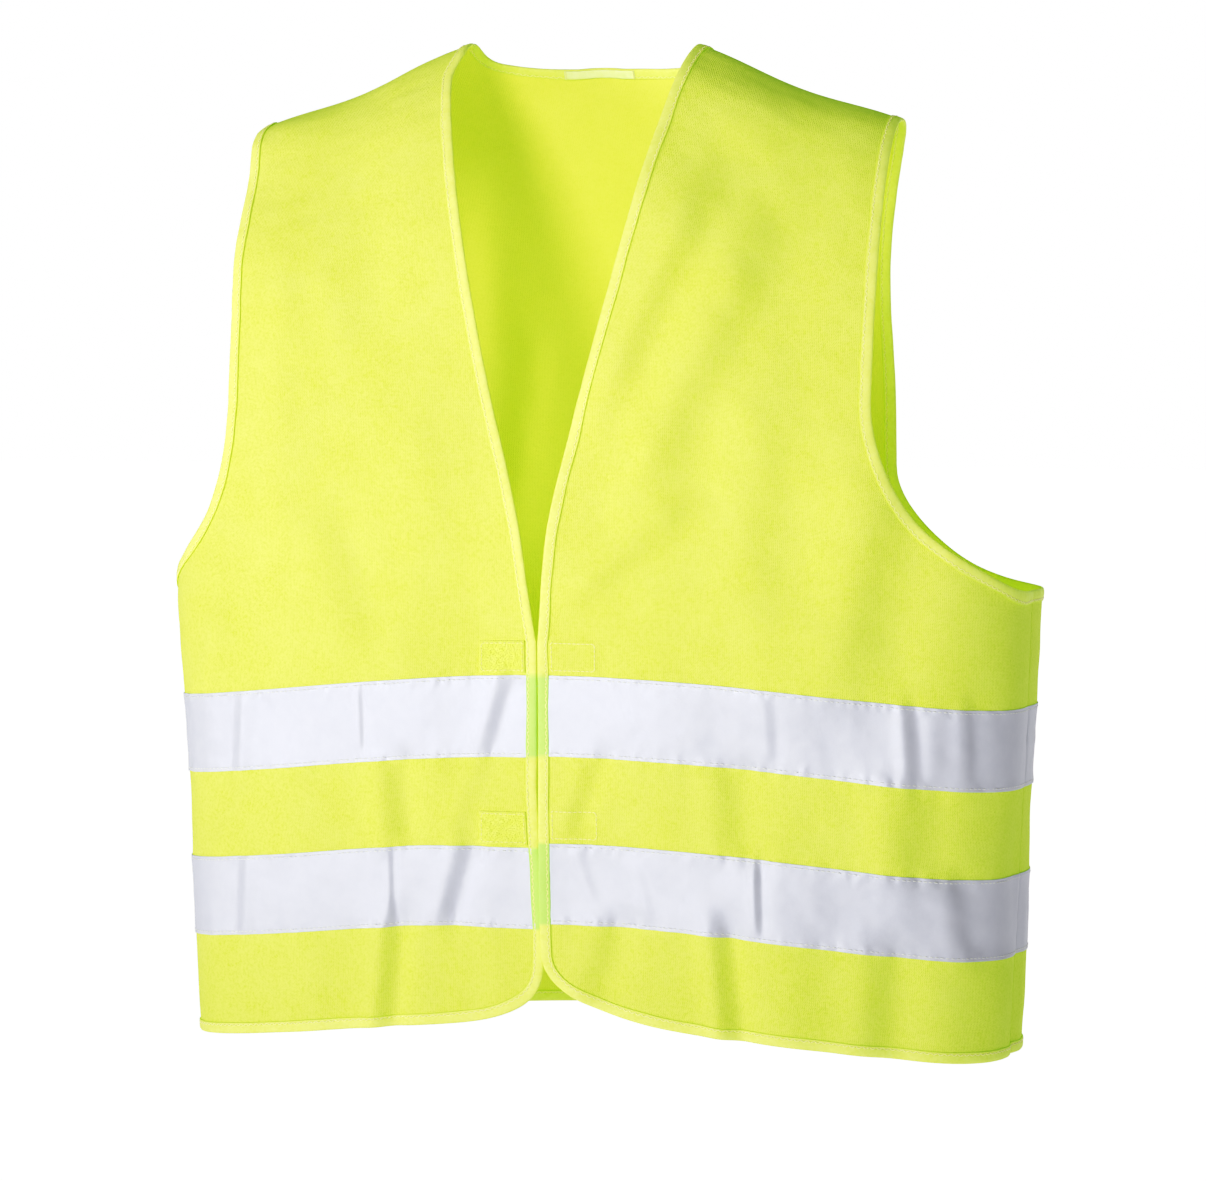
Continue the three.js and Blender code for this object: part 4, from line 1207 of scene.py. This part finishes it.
def fibres(side, level, kind, face):
    """The loops or the hooks that stand on a pad's face."""
    made = PAD_KINDS[kind]
    rng = np.random.default_rng(made["seed"])
    places = pad_grid(side, level, made["columns"], made["rows"], FIBRE_INSET)
    half, turn, stature = (part.ravel() for part in places)
    jitter = FIBRE_JITTER * made["jumble"]
    turn = turn + rng.normal(0, jitter, turn.shape) / half_width(stature)
    stature = stature + rng.normal(0, jitter, turn.shape)
    out = normal(half, turn, stature) * made["out"]
    heading = rng.uniform(0, 2 * math.pi, turn.shape) * made["jumble"]
    round_it, up_it = (unit(v) for v in slopes(half, turn, stature))
    along = round_it * np.cos(heading)[:, None] + up_it * np.sin(heading)[:, None]
    along = unit(along - out * dot(along, out)[:, None])
    centres = cloth(half, turn, stature, face - made["out"] * FIBRE_ROOT)
    parts = [stamped(made["fibre"], centres, along, np.cross(out, along), out)]
    thread_piece(f"{level}_{kind}_pile", parts, made["finish"], side)


# ---- Seams, and the label ----

INSIDE = (0, 0.1, -0.4)  # a place inside the vest, which seams and neck edges are turned towards
SPAN_MM = SEAM_ALLOWANCE * 1000
ALLOWANCE_SECTION = np.array((
    (0.0, 0.0), (SPAN_MM - 0.4, 0.0), (SPAN_MM, -0.30), (SPAN_MM - 0.1, -0.95), (SPAN_MM - 0.6, -1.10),
    (1.2, -1.05), (0.4, -0.85), (0.0, -0.40))) / 1000
ALLOWANCE_STATION = 0.0030  # how far apart its sections are
ALLOWANCE_OUT = -0.0006  # just inside the cloth's inner face
OVERLOCK_INSET = SEAM_ALLOWANCE - 0.0019
OVERLOCK_OUT = ALLOWANCE_OUT - 0.00112
OVERLOCK_PITCH = 0.0022
LABEL_OUT = (-0.00152, -0.00182)  # the label's two faces, inside the binding
LABEL_INSET = 0.0006
LABEL_STATION = 0.0009
LABEL_END_STITCH = 0.0012  # from the label's end to its line of stitches
LABEL_STITCH_OUT = LABEL_OUT[1] - 0.00008
LABEL_STITCH_PITCH = 0.0022


def allowance(name, places, node):
    """The two raw edges of a seam, overlocked together and pressed to the back of the vest."""
    fine = resample(places, ALLOWANCE_STATION)
    _, _, inward = frames(fine, INSIDE)
    run = lengths_along(body(*fine), 0)
    inset, out = ALLOWANCE_SECTION.T
    waver = 1 + 0.03 * EDGE_DRIFT(run, 1.5)[:, None] * (inset[None] > 0.003)
    rings = cloth(*moved(fine, inward, inset[None] * waver), out=out[None] + ALLOWANCE_OUT)
    piece = sleeve(name, rings, inset, run, KNIT, values={"inside": np.ones(rings.shape[:2])})
    stand_for(piece, (node,))
    thread_piece(f"{name}_overlock", [overlock(fine)], THREAD)


def overlock(places):
    """Slanted loops of thread over the raw edge."""
    line = resample(places, OVERLOCK_PITCH, start=0.001)
    tangent, out, inward = frames(line, INSIDE)
    lean = np.where(np.arange(len(tangent)) % 2, 0.35, -0.15)[:, None]
    along = unit(inward + lean * tangent)
    centres = cloth(*moved(line, inward, np.array([OVERLOCK_INSET])), out=OVERLOCK_OUT)[:, 0]
    return stamped(OVERLOCK_STITCH, centres, along, np.cross(out, along), out)


def neck_label(places):
    """A blank label inside the back neck binding."""
    half, turn, stature = resample(places, LABEL_STATION)
    _, _, inward = frames([half, turn, stature], INSIDE)
    keep = np.abs(x_of(turn, stature) - SHOULDER_SWAY) < LABEL[0] / 2
    strip = [part[keep] for part in (half, turn, stature)]
    at = moved(strip, inward[keep], np.linspace(LABEL_INSET, LABEL_INSET + LABEL[1], 9))
    at = [np.broadcast_to(part, at[1].shape) for part in at]
    piece = shell("neck_label_tape", *at, LABEL_OUT, LABEL_TAPE)
    stand_for(piece, ("neck_label",))
    ends = []
    for sign in (-1, 1):
        x = SHOULDER_SWAY + sign * (LABEL[0] / 2 - LABEL_END_STITCH)
        column = int(np.argmin(np.abs(x_of(strip[1], strip[2]) - x)))
        line = [np.asarray(part[column]) for part in at]
        ends.append(stitch_line(line, INSIDE, 0.0, LABEL_STITCH_OUT, pitch=LABEL_STITCH_PITCH))
    thread_piece("neck_label_stitches", ends, THREAD)


# ---- The vest ----

def make_vest():
    for side in SIDES:
        nodes = (f"{side}_front_yoke", f"{side}_front_flap")
        panel(f"{side}_front_cloth", FRONT, [side], nodes, side)
    back = panel("back_cloth", BACK, SIDES, ("back_panel",))
    bound = {side: [] for side in ("right", "left", "back")}
    for side, sign in SIDES.items():
        centre = body(FRONT, 0.55 * sign, 0.25)
        bound[side].append(binding(
            f"{side}_front_binding", front_path(side), centre,
            (f"{side}_neckline_binding", f"{side}_front_edge_binding", f"{side}_front_hem_binding"), side))
        ring = armhole_path(side)
        binding(f"{side}_armhole_tape", ring, body(*ring).mean(0), (f"{side}_armhole_binding",),
                closed=True, away=True)
    neck = back_neck_path()
    bound["back"].append(binding("back_neck_tape", neck, INSIDE, ("back_neck_binding",)))
    bound["back"].append(binding("back_hem_tape", back_hem_path(), INSIDE, ("back_hem_binding",)))
    for level in BAND_BOTTOM:
        for side in SIDES:
            nodes = (f"{level}_band_{side}_front", f"{level}_band_{side}_side")
            bound[side].append(band(f"{level}_{side}_reflective", FRONT, level, nodes, side))
        bound["back"].append(band(f"{level}_back_reflective", BACK, level, (f"{level}_band_back",)))
        pad("right", level, "loop")
        pad("left", level, "hook")
    for side, sign in SIDES.items():
        up = np.linspace(0.0, CHEST - 0.004, 80)
        side_seam = np.broadcast_arrays(np.array(BACK), sign * QUARTER, up)
        allowance(f"{side}_side_allowance", side_seam, f"{side}_side_seam")
        reach = np.linspace(NECK_HALF_WIDTH - NECK_PINCH[side] + 0.003, SHOULDER_HALF_WIDTH - 0.003, 60)
        shoulder_seam = path(BACK, SHOULDER_SWAY + sign * reach, LENGTH)
        allowance(f"{side}_shoulder_allowance", shoulder_seam, f"{side}_shoulder_seam")
    neck_label(neck)


# ---- Studio ----

FLOOR_Z = -1.45  # the vest hangs at the height of a wearer's shoulders
CAMERA_TARGET = Vector((0.010, 0.0, -0.3435))
CAMERA_AZIMUTH = math.radians(16.7)
CAMERA_ELEVATION = math.radians(3.0)
CAMERA_DISTANCE = 3.3
CAMERA_LENS = 155.55  # millimetres, on a sensor 36 mm wide
LIT_PLACE = Vector((-0.04, 0.0, -0.19))  # what the lamps point at
# Each lamp's azimuth and elevation in degrees, its distance and size, its power in watts, and its spread in
# degrees.
LAMPS = {
    "key": (-8, 5, 3.2, (0.8, 0.8), 2.80, 38),
    "left_light": (-52, 5, 3.0, (1.0, 1.4), 2.28, 38),
    "back_light": (165, 12, 2.8, (1.6, 1.4), 19, 180),
}
PAPER = ((0.86, 0.86, 0.86, 1), (0.90, 0.90, 0.90, 1))
PAPER_GLOW = (1.8, 4.4, 0.42, 0.95)  # near and far distance, and how bright the paper's painted glow is there
WORLD_LIGHT = 0.08  # the white world's strength as light; the camera sees it at 1


def look_at(obj, target):
    obj.rotation_mode = "QUATERNION"
    obj.rotation_quaternion = (target - obj.location).to_track_quat("-Z", "Y")


def direction(azimuth, elevation):
    return Vector((
        math.sin(azimuth) * math.cos(elevation), -math.cos(azimuth) * math.cos(elevation),
        math.sin(elevation)))


def make_camera():
    data = bpy.data.cameras.new("camera")
    data.lens = CAMERA_LENS
    data.sensor_width = 36.0
    camera = bpy.data.objects.new("camera", data)
    bpy.context.scene.collection.objects.link(camera)
    camera.location = CAMERA_TARGET + CAMERA_DISTANCE * direction(CAMERA_AZIMUTH, CAMERA_ELEVATION)
    look_at(camera, CAMERA_TARGET)
    bpy.context.scene.camera = camera


def softbox(name, azimuth, elevation, distance, size, power, spread):
    data = bpy.data.lights.new(name, "AREA")
    data.spread = math.radians(spread)
    data.shape = "RECTANGLE"
    data.size, data.size_y = size
    data.energy = power
    lamp = bpy.data.objects.new(name, data)
    bpy.context.scene.collection.objects.link(lamp)
    lamp.location = LIT_PLACE + distance * direction(math.radians(azimuth), math.radians(elevation))
    look_at(lamp, LIT_PLACE)
    lamp.visible_camera = False


def floor_material():
    """Pale paper with a painted glow, brightest away from the vest, so that little of it shines up on the
    cloth.
    """
    nodes = Nodes("studio_floor")
    space = nodes.space()
    away = nodes.add("ShaderNodeVectorMath", {"operation": "LENGTH"}, Vector=space).outputs["Value"]
    return nodes.finish(
        Base_Color=nodes.mix(nodes.noise(space, 3.0, 2.0), *PAPER), Roughness=0.9,
        Emission_Color=(1, 1, 1, 1), Emission_Strength=nodes.spread(away, *PAPER_GLOW))


# The picture's contrast between black and white: scene brightness to shown brightness, both linear.
CONTRAST = (
    (0.05, 0.018), (0.11, 0.060), (0.17, 0.130), (0.30, 0.300), (0.5, 0.550), (0.7, 0.770), (0.85, 0.890))


def develop():
    """Deeper dark tones and softer bright ones, as a catalogue picture has."""
    settings = bpy.context.scene.view_settings
    settings.view_transform = "Standard"
    settings.use_curve_mapping = True
    mapping = settings.curve_mapping
    mapping.use_clip = False
    curve = mapping.curves[3]
    for place in CONTRAST:
        curve.points.new(*place)
    mapping.update()


def make_studio():
    reach = 40.0
    corners = [(x * reach, y * reach, FLOOR_Z) for x, y in ((-1, -1), (1, -1), (1, 1), (-1, 1))]
    floor = build("studio_floor", np.array(corners), np.array([[0, 1, 2, 3]]), floor_material())
    for name, lamp in LAMPS.items():
        softbox(name, *lamp)
    world = bpy.data.worlds.new("studio_world")
    world.use_nodes = True
    tree = world.node_tree
    background = tree.nodes["Background"]
    background.inputs["Color"].default_value = (1, 1, 1, 1)
    light = tree.nodes.new("ShaderNodeLightPath")
    seen = tree.nodes.new("ShaderNodeMapRange")
    tree.links.new(light.outputs["Is Camera Ray"], seen.inputs["Value"])
    seen.inputs["To Min"].default_value = WORLD_LIGHT
    seen.inputs["To Max"].default_value = 1.0
    tree.links.new(seen.outputs["Result"], background.inputs["Strength"])
    bpy.context.scene.world = world
    develop()


make_camera()
make_vest()
make_studio()
